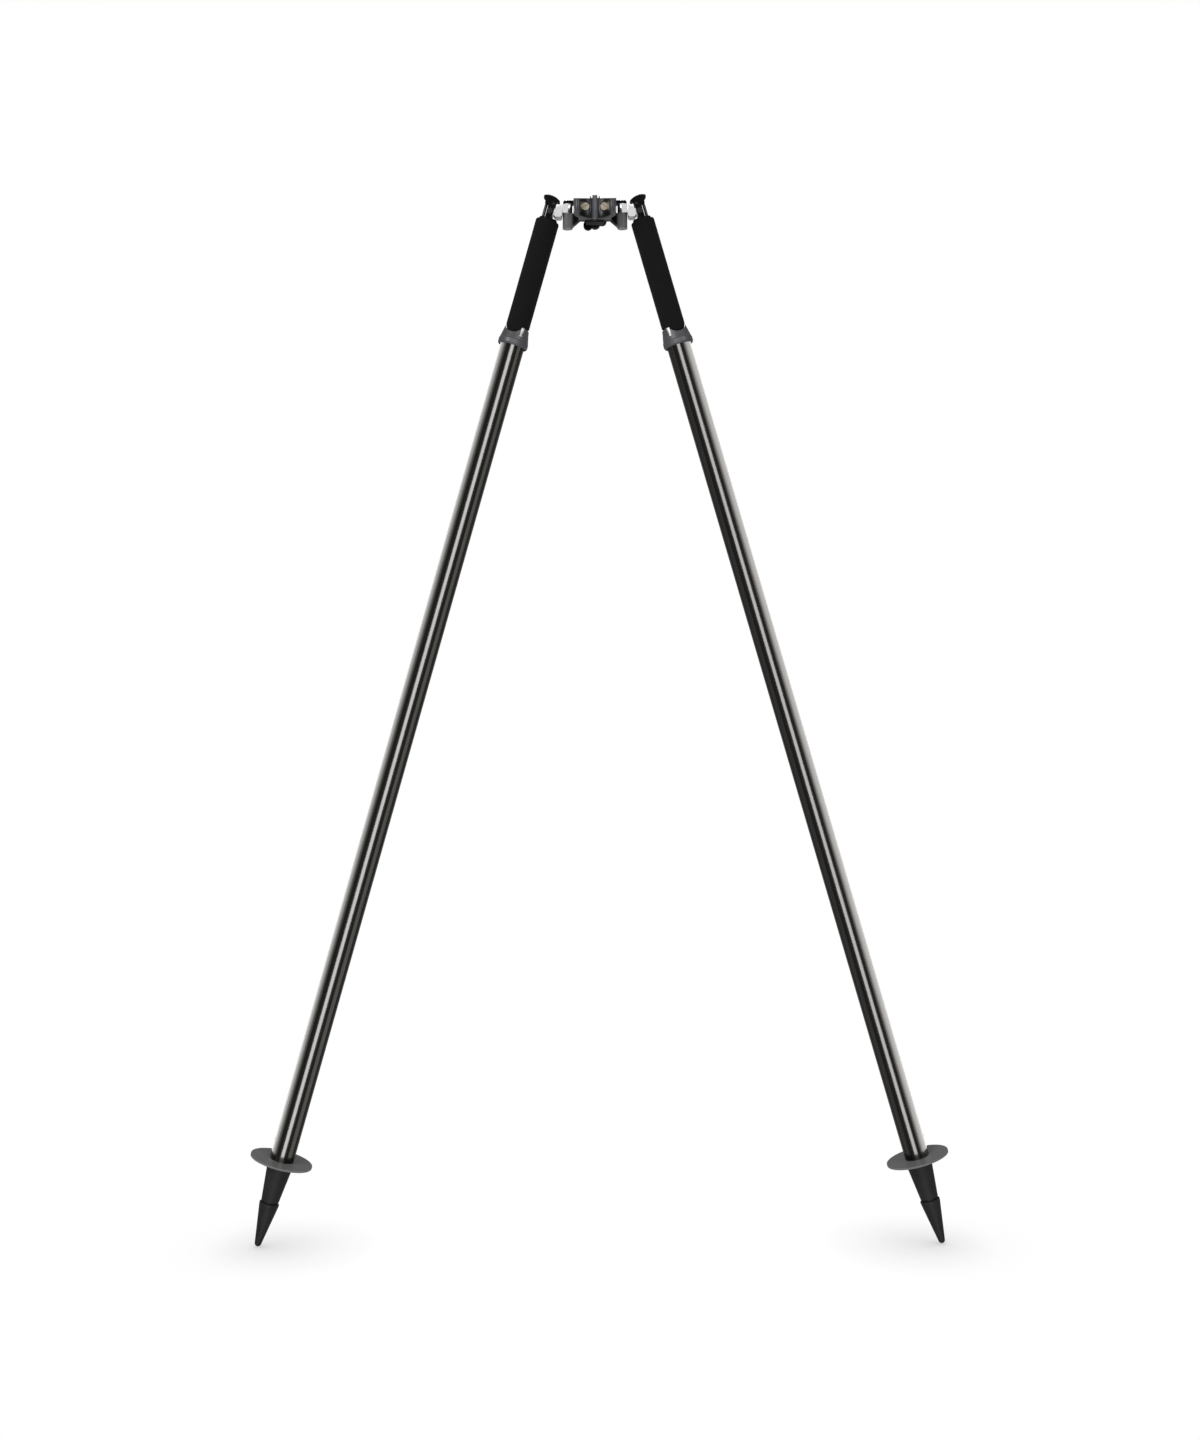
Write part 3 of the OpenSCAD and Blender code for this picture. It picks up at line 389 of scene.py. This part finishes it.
def grain_group():
    """Fine moulded grain as a height, and a mask of broad patches."""
    group, start, end = new_group("moulded_grain")
    socket(group, "Grain per metre", "INPUT", "Float", MOULDED_GRAIN)
    socket(group, "Patch per metre", "INPUT", "Float", MOULDED_PATCHES)
    socket(group, "Height", "OUTPUT", "Float")
    socket(group, "Patches", "OUTPUT", "Float")
    place = group.nodes.new("ShaderNodeTexCoord")
    for count, result, detail in (
            ("Grain per metre", "Height", 3.0), ("Patch per metre", "Patches", 4.0)):
        noise = group.nodes.new("ShaderNodeTexNoise")
        noise.inputs["Detail"].default_value = detail
        group.links.new(place.outputs["Object"], noise.inputs["Vector"])
        group.links.new(start.outputs[count], noise.inputs["Scale"])
        group.links.new(noise.outputs["Fac"], end.inputs[result])
    return group


def leg_space_group():
    """Object coordinates turned so that Z runs up the leg, the same on both legs."""
    group, _, end = new_group("leg_space")
    socket(group, "Place", "OUTPUT", "Vector")
    place = group.nodes.new("ShaderNodeTexCoord")
    parts = group.nodes.new("ShaderNodeSeparateXYZ")
    joined = group.nodes.new("ShaderNodeCombineXYZ")
    turned = group.nodes.new("ShaderNodeVectorRotate")
    turned.rotation_type = "Y_AXIS"
    turned.inputs["Center"].default_value = HINGE["right"]
    turned.inputs["Angle"].default_value = SPLAY
    links = group.links
    links.new(place.outputs["Object"], parts.inputs[0])
    links.new(math_node(group, "ABSOLUTE", parts.outputs["X"]), joined.inputs["X"])
    links.new(parts.outputs["Y"], joined.inputs["Y"])
    links.new(parts.outputs["Z"], joined.inputs["Z"])
    links.new(joined.outputs[0], turned.inputs["Vector"])
    links.new(turned.outputs[0], end.inputs["Place"])
    return group


def drawn_lines_group(leg_space):
    """Lines that drawing leaves along a tube, and a mask of short scuffs along it."""
    group, start, end = new_group("drawn_lines")
    socket(group, "Lines per metre", "INPUT", "Float", TUBE_LINES)
    socket(group, "Lines", "OUTPUT", "Float")
    socket(group, "Scuffs", "OUTPUT", "Float")
    place = group.nodes.new("ShaderNodeGroup")
    place.node_tree = leg_space
    links = group.links

    def stretched(along, detail):
        """A noise node whose pattern is drawn out along the leg."""
        mapping = group.nodes.new("ShaderNodeMapping")
        mapping.inputs["Scale"].default_value = (1, 1, along)
        noise = group.nodes.new("ShaderNodeTexNoise")
        noise.inputs["Detail"].default_value = detail
        links.new(place.outputs["Place"], mapping.inputs["Vector"])
        links.new(mapping.outputs[0], noise.inputs["Vector"])
        return noise

    lines = stretched(along=0.006, detail=3.0)
    links.new(start.outputs["Lines per metre"], lines.inputs["Scale"])
    links.new(lines.outputs["Fac"], end.inputs["Lines"])
    scuffs = stretched(along=0.25, detail=6.0)
    scuffs.inputs["Scale"].default_value = SCUFFS
    ramp = group.nodes.new("ShaderNodeValToRGB")
    first, last = ramp.color_ramp.elements
    first.position, last.position = SCUFF_EDGE
    links.new(scuffs.outputs["Fac"], ramp.inputs["Fac"])
    links.new(ramp.outputs["Color"], end.inputs["Scuffs"])
    return group


def turned_rings_group(leg_space):
    """Rings that turning leaves round a leg's axis."""
    group, start, end = new_group("turned_rings")
    socket(group, "Rings per metre", "INPUT", "Float", METAL_RINGS)
    socket(group, "Rings", "OUTPUT", "Float")
    place = group.nodes.new("ShaderNodeGroup")
    place.node_tree = leg_space
    mapping = group.nodes.new("ShaderNodeMapping")
    mapping.inputs["Location"].default_value = -HINGE["right"]
    noise = group.nodes.new("ShaderNodeTexNoise")
    noise.noise_dimensions = "1D"
    noise.inputs["Detail"].default_value = 2.0
    parts = group.nodes.new("ShaderNodeSeparateXYZ")
    links = group.links
    links.new(place.outputs["Place"], mapping.inputs["Vector"])
    links.new(mapping.outputs[0], parts.inputs[0])
    square = math_node(group, "ADD", math_node(group, "POWER", parts.outputs["X"], 2.0),
                       math_node(group, "POWER", parts.outputs["Y"], 2.0))
    reach = math_node(group, "ADD", math_node(group, "SQRT", square), parts.outputs["Z"])
    links.new(reach, noise.inputs["W"])
    links.new(start.outputs["Rings per metre"], noise.inputs["Scale"])
    links.new(noise.outputs["Fac"], end.inputs["Rings"])
    return group


class Palette:
    """The finishes of the bipod and the node groups that they share."""

    def __init__(self):
        leg_space = leg_space_group()
        self.grain = grain_group()
        self.drawn = drawn_lines_group(leg_space)
        self.rings = turned_rings_group(leg_space)

    def start(self, name):
        """A new material, its node tree and its Principled shader."""
        material = bpy.data.materials.new(name)
        material.use_nodes = True
        tree = material.node_tree
        return material, tree, tree.nodes["Principled BSDF"]

    def use(self, tree, group, **values):
        """Places a node group in a material with its own values."""
        node = tree.nodes.new("ShaderNodeGroup")
        node.node_tree = group
        for name, value in values.items():
            node.inputs[name.replace("_", " ")].default_value = value
        return node

    def spread(self, tree, source, low, high, target):
        """Maps a noise to a range and feeds a number socket."""
        node = tree.nodes.new("ShaderNodeMapRange")
        node.inputs["From Min"].default_value, node.inputs["From Max"].default_value = NOISE_RANGE
        node.inputs["To Min"].default_value, node.inputs["To Max"].default_value = low, high
        tree.links.new(source, node.inputs["Value"])
        tree.links.new(node.outputs["Result"], target)

    def tint(self, tree, source, low, high, target, where=NOISE_RANGE):
        """Maps a noise or mask to two colours and feeds a colour socket."""
        node = tree.nodes.new("ShaderNodeValToRGB")
        first, last = node.color_ramp.elements
        first.position, last.position = where
        first.color = (*low, 1)
        last.color = (*high, 1)
        tree.links.new(source, node.inputs["Fac"])
        tree.links.new(node.outputs["Color"], target)

    def bump(self, tree, height, shader, strength, distance):
        """Feeds a height to the shader's normal."""
        node = tree.nodes.new("ShaderNodeBump")
        node.inputs["Strength"].default_value = strength
        node.inputs["Distance"].default_value = distance
        tree.links.new(height, node.inputs["Height"])
        tree.links.new(node.outputs["Normal"], shader.inputs["Normal"])

    def start_moulded(self, name, rough, strength, gloss, grain=MOULDED_GRAIN):
        """A moulded or painted finish, all but its colour: fine grain, and polished patches."""
        material, tree, shader = self.start(name)
        shader.inputs["Specular IOR Level"].default_value = gloss
        node = self.use(tree, self.grain, Grain_per_metre=grain, Patch_per_metre=MOULDED_PATCHES)
        patches = node.outputs["Patches"]
        low, high = MOULDED_ROUGH
        self.spread(tree, patches, rough + low, rough + high, shader.inputs["Roughness"])
        self.bump(tree, node.outputs["Height"], shader, strength, MOULDED_DEPTH)
        return material, tree, shader.inputs["Base Color"], patches

    def moulded(self, name, colour, rough, grain=MOULDED_GRAIN, lift=1.35, strength=0.25,
                gloss=0.25):
        """Moulded in one colour, which is lifted where handling has polished it."""
        material, tree, base, patches = self.start_moulded(name, rough, strength, gloss, grain)
        worn = tuple(channel * lift for channel in colour)
        self.tint(tree, patches, colour, worn, base)
        return material

    def ringed(self, name, axis, edge, inside, outside, gloss, ceiling=ABOVE_ALL):
        """Painted light and shade on a moulded black: one colour round an upright axis on either
        side, up to a ceiling, and another elsewhere."""
        material, tree, base, patches = self.start_moulded(
            name, rough=0.33, strength=0.12, gloss=gloss)
        place = tree.nodes.new("ShaderNodeTexCoord").outputs["Object"]
        across = place
        steps = (("ABSOLUTE", None), ("SUBTRACT", axis), ("MULTIPLY", (1, 1, 0)), ("LENGTH", None))
        for operation, other in steps:
            step = tree.nodes.new("ShaderNodeVectorMath")
            step.operation = operation
            tree.links.new(across, step.inputs[0])
            if other is not None:
                step.inputs[1].default_value = other
            across = step.outputs["Value" if operation == "LENGTH" else "Vector"]
        parts = tree.nodes.new("ShaderNodeSeparateXYZ")
        tree.links.new(place, parts.inputs[0])
        past = math_node(tree, "SUBTRACT", parts.outputs["Z"], ceiling)
        above = math_node(tree, "MAXIMUM", past, 0.0)
        uneven = math_node(tree, "MULTIPLY", patches, RING_UNEVEN)
        reach = math_node(tree, "ADD", math_node(tree, "ADD", across, above), uneven)
        self.tint(tree, reach, inside, outside, base, [edge + fade for fade in RING_FADE])
        return material

    def rubbed_bar(self, grey_middle, edge_shade, half):
        """The pressure bar: its own grey along the middle, and painted shade that darkens its long
        edges.
        """
        material, tree, base, patches = self.start_moulded(
            "rubbed_bar", rough=0.30, strength=0.1, gloss=0.25)
        place = tree.nodes.new("ShaderNodeTexCoord")
        parts = tree.nodes.new("ShaderNodeSeparateXYZ")
        tree.links.new(place.outputs["Object"], parts.inputs[0])
        # Painted shade: the bar darkens away from its middle, towards its long edges.
        uneven = math_node(tree, "MULTIPLY", patches, BAR_UNEVEN)
        across = math_node(tree, "ADD", math_node(tree, "ABSOLUTE", parts.outputs["X"]), uneven)
        self.tint(tree, across, grey_middle, edge_shade, base, [half + fade for fade in BAR_FADE])
        return material

    def metal(self, name, colour, rough, strength):
        """Plain metal with turned rings and faint patches."""
        material, tree, shader = self.start(name)
        shader.inputs["Metallic"].default_value = 1.0
        rings = self.use(tree, self.rings, Rings_per_metre=METAL_RINGS).outputs["Rings"]
        grain = self.use(tree, self.grain, Grain_per_metre=METAL_GRAIN,
                         Patch_per_metre=METAL_PATCHES)
        bright = tuple(min(channel * METAL_LIFT, 1.0) for channel in colour)
        self.tint(tree, grain.outputs["Patches"], colour, bright, shader.inputs["Base Color"])
        low, high = METAL_ROUGH
        self.spread(tree, rings, rough + low, rough + high, shader.inputs["Roughness"])
        self.bump(tree, rings, shader, strength, METAL_DEPTH)
        return material

    def anodised_tube(self, colour):
        """Dark anodised tube: glossy, with drawn lines and a few pale scuffs."""
        material, tree, shader = self.start("dark_anodised_tube")
        shader.inputs["Metallic"].default_value = 1.0
        drawn = self.use(tree, self.drawn, Lines_per_metre=TUBE_LINES).outputs
        scuffed = tuple(channel * SCUFF_LIFT for channel in colour)
        self.tint(tree, drawn["Scuffs"], colour, scuffed, shader.inputs["Base Color"],
                  where=(0.0, 1.0))
        self.spread(tree, drawn["Lines"], 0.15, 0.20, shader.inputs["Roughness"])
        self.bump(tree, drawn["Lines"], shader, strength=0.02, distance=METAL_DEPTH)
        return material

    def drawn_tube(self):
        """Bright drawn aluminium of the inner tubes."""
        material, tree, shader = self.start("bright_drawn_tube")
        shader.inputs["Metallic"].default_value = 1.0
        lines = self.use(tree, self.drawn, Lines_per_metre=BRIGHT_TUBE_LINES).outputs["Lines"]
        self.tint(tree, lines, DRAWN_DARK, DRAWN_PALE, shader.inputs["Base Color"])
        self.spread(tree, lines, 0.30, 0.42, shader.inputs["Roughness"])
        self.bump(tree, lines, shader, strength=0.08, distance=METAL_DEPTH)
        return material

    def foam(self, colour):
        """Closed-cell foam: matte, with open pores in its skin."""
        material, tree, shader = self.start("closed_cell_foam")
        shader.inputs["Specular IOR Level"].default_value = 0.06
        shader.inputs["Sheen Weight"].default_value = 0.012
        shader.inputs["Sheen Roughness"].default_value = 0.6
        place = tree.nodes.new("ShaderNodeTexCoord")
        pores = tree.nodes.new("ShaderNodeTexVoronoi")
        pores.inputs["Scale"].default_value = FOAM_PORES
        tree.links.new(place.outputs["Object"], pores.inputs["Vector"])
        grain = self.use(tree, self.grain, Grain_per_metre=FOAM_GRAIN,
                         Patch_per_metre=FOAM_PATCHES)
        finer = math_node(tree, "MULTIPLY", grain.outputs["Height"], FOAM_GRAIN_SHARE)
        mixed = math_node(tree, "ADD", pores.outputs["Distance"], finer)
        pale = tuple(channel * FOAM_LIFT for channel in colour)
        self.tint(tree, mixed, colour, pale, shader.inputs["Base Color"], FOAM_TINT_RANGE)
        self.spread(tree, grain.outputs["Patches"], 0.82, 0.96, shader.inputs["Roughness"])
        self.bump(tree, mixed, shader, strength=0.5, distance=FOAM_DEPTH)
        return material


PALETTE = []


def palette():
    """The one palette that all the operators share."""
    if not PALETTE:
        PALETTE.append(Palette())
    return PALETTE[0]


# Pieces

def tongue_drop(place, depth, width, offset):
    """How far the grip's end dips below its straight edge at a place across the leg."""
    radius = (width * width / 4 + depth * depth) / (2 * depth)
    inside = radius * radius - (place - offset) ** 2
    return max(depth - radius + math.sqrt(inside), 0.0) if inside > 0 else 0.0


def make_grip(side, settings):
    """One foam sleeve: a soft, slightly uneven tube whose lower end dips into the collar."""
    node = f"{side}_foam_grip"
    points = leg_points(node, side)
    radius = max(math.hypot(point.x, point.y) for point in points)
    bore = min(math.hypot(point.x, point.y) for point in points)
    high = max(point.z for point in points)
    low = min(point.z for point in points if point.x < -INNER_SIDE * radius)
    depth = low - min(point.z for point in points)
    length = high - low
    half = length / 2
    clear_selection()
    bpy.ops.mesh.primitive_cylinder_add(
        vertices=GRIP_CUTS_ROUND, radius=radius, depth=length, end_fill_type="NGON")
    grip = bpy.context.object
    grip.name = f"{side}_grip_foam"

    def at_an_end(z):
        return abs(abs(z) - half) < SAME_PLACE

    def end_face(mesh, face):
        return at_an_end(face.center.z)

    def outer_rim(mesh, edge):
        a, b = edge_ends(mesh, edge)
        level = abs(a.z - b.z) < SAME_PLACE
        return level and at_an_end(a.z) and math.hypot(a.x, a.y) > radius - RIM_MARGIN

    def along_outside(mesh, edge):
        a, b = edge_ends(mesh, edge)
        return abs(a.z - b.z) > LONG_EDGE * length and math.hypot(a.x, a.y) > (radius + bore) / 2

    select_parts(grip, "faces", end_face)
    bpy.ops.mesh.inset(thickness=radius - bore, use_individual=True)
    bpy.ops.mesh.bridge_edge_loops()
    select_parts(grip, "edges", outer_rim)
    bpy.ops.mesh.bevel(offset=settings.end_round, segments=GRIP_RIM_CUTS)
    select_parts(grip, "edges", along_outside)
    bpy.ops.mesh.subdivide(number_cuts=settings.rings)
    bpy.ops.mesh.select_all(action="SELECT")
    bpy.ops.mesh.normals_make_consistent(inside=False)
    bpy.ops.object.mode_set(mode="OBJECT")
    for vertex in grip.data.vertices:
        near_end = max(0.0, 1.0 - (vertex.co.z + half) / (TONGUE_REACH * depth))
        across = vertex.co.x * OUTWARD[side]
        drop = tongue_drop(across, depth, settings.saddle_width, settings.saddle_offset)
        vertex.co.z -= near_end * drop

    skin = bpy.data.textures.new(f"{side}_foam_skin", "CLOUDS")
    skin.noise_scale = SKIN_WAVE
    skin.noise_depth = SKIN_DETAIL
    apply_modifier(grip, "DISPLACE", texture=skin, strength=settings.unevenness,
                   mid_level=SKIN_MIDDLE)
    activate(grip)
    bpy.ops.object.shade_smooth_by_angle(angle=GRIP_SMOOTH_ANGLE)
    middle = Matrix.Translation((0, 0, (low + high) / 2))
    settle(grip, leg_matrix(side) @ middle)
    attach(grip, f"{side}_leg")
    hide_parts(node)
    return grip


def dress(piece, material):
    """Makes a material the only one of a piece."""
    piece.data.materials.clear()
    piece.data.materials.append(material)


def soften(piece, width):
    """Rounds a rigid piece's sharp edges a little, as a mould does."""
    weld = piece.modifiers.new("Weld", "WELD")
    weld.merge_threshold = WELD_REACH
    bevel = piece.modifiers.new("Soft edges", "BEVEL")
    bevel.width = width
    bevel.segments = EDGE_CUTS
    bevel.limit_method = "ANGLE"
    bevel.angle_limit = EDGE_ANGLE
    bevel.harden_normals = True


class BIPOD_OT_grips(bpy.types.Operator):
    """Models the two foam grips"""
    bl_idname = "bipod.grips"
    bl_label = "Foam grips"

    def execute(self, context):
        settings = context.scene.bipod_grips
        foam = palette().foam(settings.colour)
        for side in SIDES:
            dress(make_grip(side, settings), foam)
        return {"FINISHED"}


class BIPOD_OT_finishes(bpy.types.Operator):
    """Gives every rigid piece its finish"""
    bl_idname = "bipod.finishes"
    bl_label = "Finishes"

    def execute(self, context):
        settings = context.scene.bipod_finishes
        make = palette()
        satin = make.moulded("satin_black", settings.satin_black, rough=0.42, gloss=0.06)
        finishes = {
            "head_black": satin,
            "lever_black": satin,
            "collar_grey": make.moulded("collar_grey", settings.collar_grey, rough=0.36,
                                        strength=0.08, lift=1.1, gloss=0.3),
            "foot_black": make.moulded("foot_black", settings.foot_black, rough=0.55,
                                       strength=0.35, gloss=0.2),
            "point_black": make.moulded("point_black", settings.foot_black, rough=0.5,
                                        grain=POINT_GRAIN, gloss=0.2),
            "disc_grey": make.moulded("disc_grey", settings.disc_grey, rough=0.45,
                                      grain=DISC_GRAIN, lift=1.15),
            "nylon": make.moulded("natural_nylon", NYLON, rough=0.4, lift=1.08),
            "bar_grey": make.rubbed_bar(BAR_GREY, settings.bar_painted_shade, settings.bar_unshaded_half),
            "tube_bright": make.drawn_tube(),
            "tube_dark": make.anodised_tube(settings.tube_dark),
        }
        for slot, row in METALS.items():
            finishes[slot] = make.metal(*row)
        for row in RECORD["subparts"]:
            if row["material_slot"] in finishes:
                dress(NODES[row["node"]], finishes[row["material_slot"]])
        # The clamp in two colours: the yoke's black in its bore as painted shade, and outside it a
        # grey that stands in for the sheen of its black plastic.
        dress(NODES["pole_clamp"], make.ringed(
            "clamp_grey", (0, 0, 0), BORE_R, settings.yoke_black, settings.clamp_grey, gloss=0.3))
        # The yoke's black, with a painted highlight in grey on its lower lugs up to their top.
        dress(NODES["yoke"], make.ringed(
            "yoke_black", LUG_AXIS, lug_radius(), settings.lug_painted_highlight, settings.yoke_black,
            gloss=0.06, ceiling=LUG_HIGHLIGHT_TOP))
        for name in SOFT_EDGED:
            soften(NODES[name], settings.edge_round)
        return {"FINISHED"}


# Stage

def put_in_scene(name, data):
    """A new object for a lamp or camera, linked to the scene."""
    made = bpy.data.objects.new(name, data)
    bpy.context.scene.collection.objects.link(made)
    return made


def light_set(name, pieces):
    """A collection of pieces that a lamp is linked to."""
    made = bpy.data.collections.new(name)
    for piece in pieces:
        made.objects.link(piece)
    return made


def facing(place, target):
    """The turn of a lamp that looks from a place at a target, with its height upright."""
    return (Vector(target) - Vector(place)).to_track_quat("-Z", "Y").to_euler()


def add_panel(name, place, turn, width, height, glow, colour=PLAIN, receivers=(), spared=()):
    """A soft rectangular lamp, for the receivers alone or for all but the spared pieces."""
    lamp = bpy.data.lights.new(name, "AREA")
    lamp.shape = "RECTANGLE"
    lamp.size, lamp.size_y = width, height
    lamp.energy = glow * math.pi * width * height
    lamp.color = colour
    panel = put_in_scene(name, lamp)
    panel.location = place
    panel.rotation_euler = turn
    panel.visible_camera = False
    if receivers:
        lit = light_set(f"{name}_lit", receivers)
        panel.light_linking.receiver_collection = lit
        panel.light_linking.blocker_collection = lit
    if spared:
        unlit = light_set(f"{name}_unlit", spared)
        for row in unlit.collection_objects:
            row.light_linking.link_state = "EXCLUDE"
        panel.light_linking.receiver_collection = unlit


def add_strip(name, side, camera, receiver, first, last, glow, colour):
    """A tall lamp that the camera sees mirrored in one piece of a leg, between two angles."""
    down = LEG_DOWN[side]
    middle = HINGE[side] + down * TUBE_MIDDLE
    view = (camera.location - middle).normalized()
    along = down * view.dot(down)
    turn = Matrix.Rotation(math.radians((first + last) / 2) * -OUTWARD[side], 3, down)
    mirrored = turn @ (view - along) - along
    upright = (down - mirrored * down.dot(mirrored)).normalized()
    axes = Matrix((upright.cross(mirrored), upright, mirrored)).transposed()
    width = 2 * STRIP_REACH * math.tan(math.radians(last - first) / 2)
    add_panel(name, middle + mirrored * STRIP_REACH, axes.to_euler(), width, STRIP_HEIGHT, glow,
              colour, [NODES[f"{side}_{receiver}"]])


def floor_material(settings):
    """Pale to the light; to the camera a clear film with a painted shadow that darkens it only near
    a piece.
    """
    material = bpy.data.materials.new("pale_floor")
    material.use_nodes = True
    tree = material.node_tree
    shader = tree.nodes["Principled BSDF"]
    shader.inputs["Roughness"].default_value = 0.9
    shader.inputs["Specular IOR Level"].default_value = 0.1
    place = tree.nodes.new("ShaderNodeTexCoord")
    noise = tree.nodes.new("ShaderNodeTexNoise")
    noise.inputs["Scale"].default_value = FLOOR_PATCHES
    ramp = tree.nodes.new("ShaderNodeValToRGB")
    dull = [FLOOR_DULL * channel for channel in settings.floor_colour]
    ramp.color_ramp.elements[0].color = (*dull, 1)
    ramp.color_ramp.elements[1].color = (*settings.floor_colour, 1)
    tree.links.new(place.outputs["Object"], noise.inputs["Vector"])
    tree.links.new(noise.outputs["Fac"], ramp.inputs["Fac"])
    tree.links.new(ramp.outputs["Color"], shader.inputs["Base Color"])
    # Painted shadow: ambient occlusion near the feet darkens the film that the camera sees, in
    # place of a cast shadow.
    near = tree.nodes.new("ShaderNodeAmbientOcclusion")
    near.samples = SHADE_SAMPLES
    near.inputs["Distance"].default_value = settings.shade_reach
    tone = tree.nodes.new("ShaderNodeMapRange")
    tone.inputs["From Min"].default_value = SHADE_DEEPEST
    tone.inputs["To Min"].default_value = settings.shade_tone
    film = tree.nodes.new("ShaderNodeBsdfTransparent")
    tree.links.new(near.outputs["AO"], tone.inputs["Value"])
    tree.links.new(tone.outputs["Result"], film.inputs["Color"])
    mixed = tree.nodes.new("ShaderNodeMixShader")
    path = tree.nodes.new("ShaderNodeLightPath")
    tree.links.new(path.outputs["Is Camera Ray"], mixed.inputs["Fac"])
    tree.links.new(shader.outputs["BSDF"], mixed.inputs[1])
    tree.links.new(film.outputs["BSDF"], mixed.inputs[2])
    tree.links.new(mixed.outputs["Shader"], tree.nodes["Material Output"].inputs["Surface"])
    return material


def add_floor_sun(floor):
    """An even light from above for the floor alone, which throws it back up under the pieces."""
    lamp = bpy.data.lights.new("floor_sun", "SUN")
    lamp.energy = SUN_GLOW * math.pi
    lamp.angle = SUN_ANGLE
    sun = put_in_scene("floor_sun", lamp)
    sun.light_linking.receiver_collection = light_set("floor_sun_lit", [floor])


def add_floor(settings):
    """A pale floor just under the feet, with its own light."""
    clear_selection()
    bpy.ops.mesh.primitive_plane_add(
        size=settings.floor_size, location=(0, 0, FLOOR_Z - FLOOR_GAP))
    floor = bpy.context.object
    floor.name = "floor"
    floor.data.materials.append(floor_material(settings))
    floor.visible_glossy = False
    add_floor_sun(floor)


def add_world():
    """White to the camera, a soft even light to everything else."""
    world = bpy.data.worlds.new("white_studio")
    bpy.context.scene.world = world
    world.use_nodes = True
    tree = world.node_tree
    back = tree.nodes["Background"]
    back.inputs["Color"].default_value = (1, 1, 1, 1)
    strength = tree.nodes.new("ShaderNodeMapRange")
    strength.inputs["To Min"].default_value = WORLD_TO_PIECES
    strength.inputs["To Max"].default_value = WORLD_TO_CAMERA
    path = tree.nodes.new("ShaderNodeLightPath")
    tree.links.new(path.outputs["Is Camera Ray"], strength.inputs["Value"])
    tree.links.new(strength.outputs["Result"], back.inputs["Strength"])


def add_camera(settings):
    """The photograph's view: level, at mid-height, straight on to the plane of the legs."""
    frame_height = PHOTO_H / PIXELS_PER_METRE
    middle_z = (HEAD_Y_PIXEL - PHOTO_H / 2) / PIXELS_PER_METRE
    middle_x = (PHOTO_W / 2 - (HEAD_X_PIXEL + FOOT_X_PIXEL) / 2) / PIXELS_PER_METRE
    foot_pixels = -FLOOR_Z * PIXELS_PER_METRE
    roll = math.atan((FOOT_X_PIXEL - HEAD_X_PIXEL) / foot_pixels)
    data = bpy.data.cameras.new("photo_camera")
    data.sensor_fit = "VERTICAL"
    data.angle_y = 2 * math.atan(frame_height / 2 / settings.camera_distance)
    data.clip_end = CAMERA_FAR
    camera = put_in_scene("photo_camera", data)
    camera.location = (middle_x, HINGE["right"].y - settings.camera_distance, middle_z)
    camera.rotation_euler = (math.radians(90), roll, 0)
    bpy.context.scene.camera = camera
    return camera


def add_lamps(camera):
    """Panels for the whole part, one for the head, and strips that draw the legs' streaks."""
    tubes = [NODES[f"{side}_outer_tube"] for side in SIDES]
    for name, (place, target, width, height, glow) in PANELS.items():
        add_panel(name, place, facing(place, target), width, height, glow, spared=tubes)
    place, target, width, height, glow = HEAD_FRONT
    add_panel("head_front", place, facing(place, target), width, height, glow,
              receivers=[NODES[name] for name in HEAD_BRIGHT])
    for side in SIDES:
        for at, strip in enumerate(TUBE_STRIPS[side]):
            add_strip(f"{side}_tube_strip_{at}", side, camera, "outer_tube", *strip)
        add_strip(f"{side}_collar_strip", side, camera, "collar", *COLLAR_STRIP)
        for piece in ("foot_cone", "foot_point"):
            add_strip(f"{side}_{piece}_strip", side, camera, piece, *FOOT_STRIP)


class BIPOD_OT_stage(bpy.types.Operator):
    """Sets the floor, the world, the lamps and the camera"""
    bl_idname = "bipod.stage"
    bl_label = "Stage"

    def execute(self, context):
        settings = context.scene.bipod_stage
        add_floor(settings)
        add_world()
        add_lamps(add_camera(settings))
        context.scene.view_settings.view_transform = "Standard"
        return {"FINISHED"}


# Add-on

STEPS = {
    "bipod.grips": "bipod_grips",
    "bipod.finishes": "bipod_finishes",
    "bipod.stage": "bipod_stage",
}


class BIPOD_PT_panel(bpy.types.Panel):
    """Lists the steps and their settings"""
    bl_idname = "BIPOD_PT_panel"
    bl_label = "Prism pole bipod"
    bl_space_type = "VIEW_3D"
    bl_region_type = "UI"
    bl_category = "Bipod"

    def draw(self, context):
        layout = self.layout
        for operator, group in STEPS.items():
            layout.operator(operator)
            settings = getattr(context.scene, group)
            for name in settings.bl_rna.properties.keys():
                if name not in ("name", "rna_type"):
                    layout.prop(settings, name)


SETTINGS = {
    "bipod_grips": GripSettings,
    "bipod_finishes": FinishSettings,
    "bipod_stage": StageSettings,
}
CLASSES = (
    GripSettings, FinishSettings, StageSettings,
    BIPOD_OT_grips, BIPOD_OT_finishes, BIPOD_OT_stage, BIPOD_PT_panel,
)


def register():
    """Registers the classes and hangs the settings on the scene."""
    for cls in CLASSES:
        bpy.utils.register_class(cls)
    for name, cls in SETTINGS.items():
        setattr(bpy.types.Scene, name, bpy.props.PointerProperty(type=cls))


def unregister():
    """Takes the settings and the classes away again."""
    for name in SETTINGS:
        delattr(bpy.types.Scene, name)
    for cls in reversed(CLASSES):
        bpy.utils.unregister_class(cls)


def main():
    """Registers the add-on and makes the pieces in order."""
    register()
    bpy.ops.bipod.grips()
    bpy.ops.bipod.finishes()
    bpy.ops.bipod.stage()


if __name__ == "__main__":
    main()
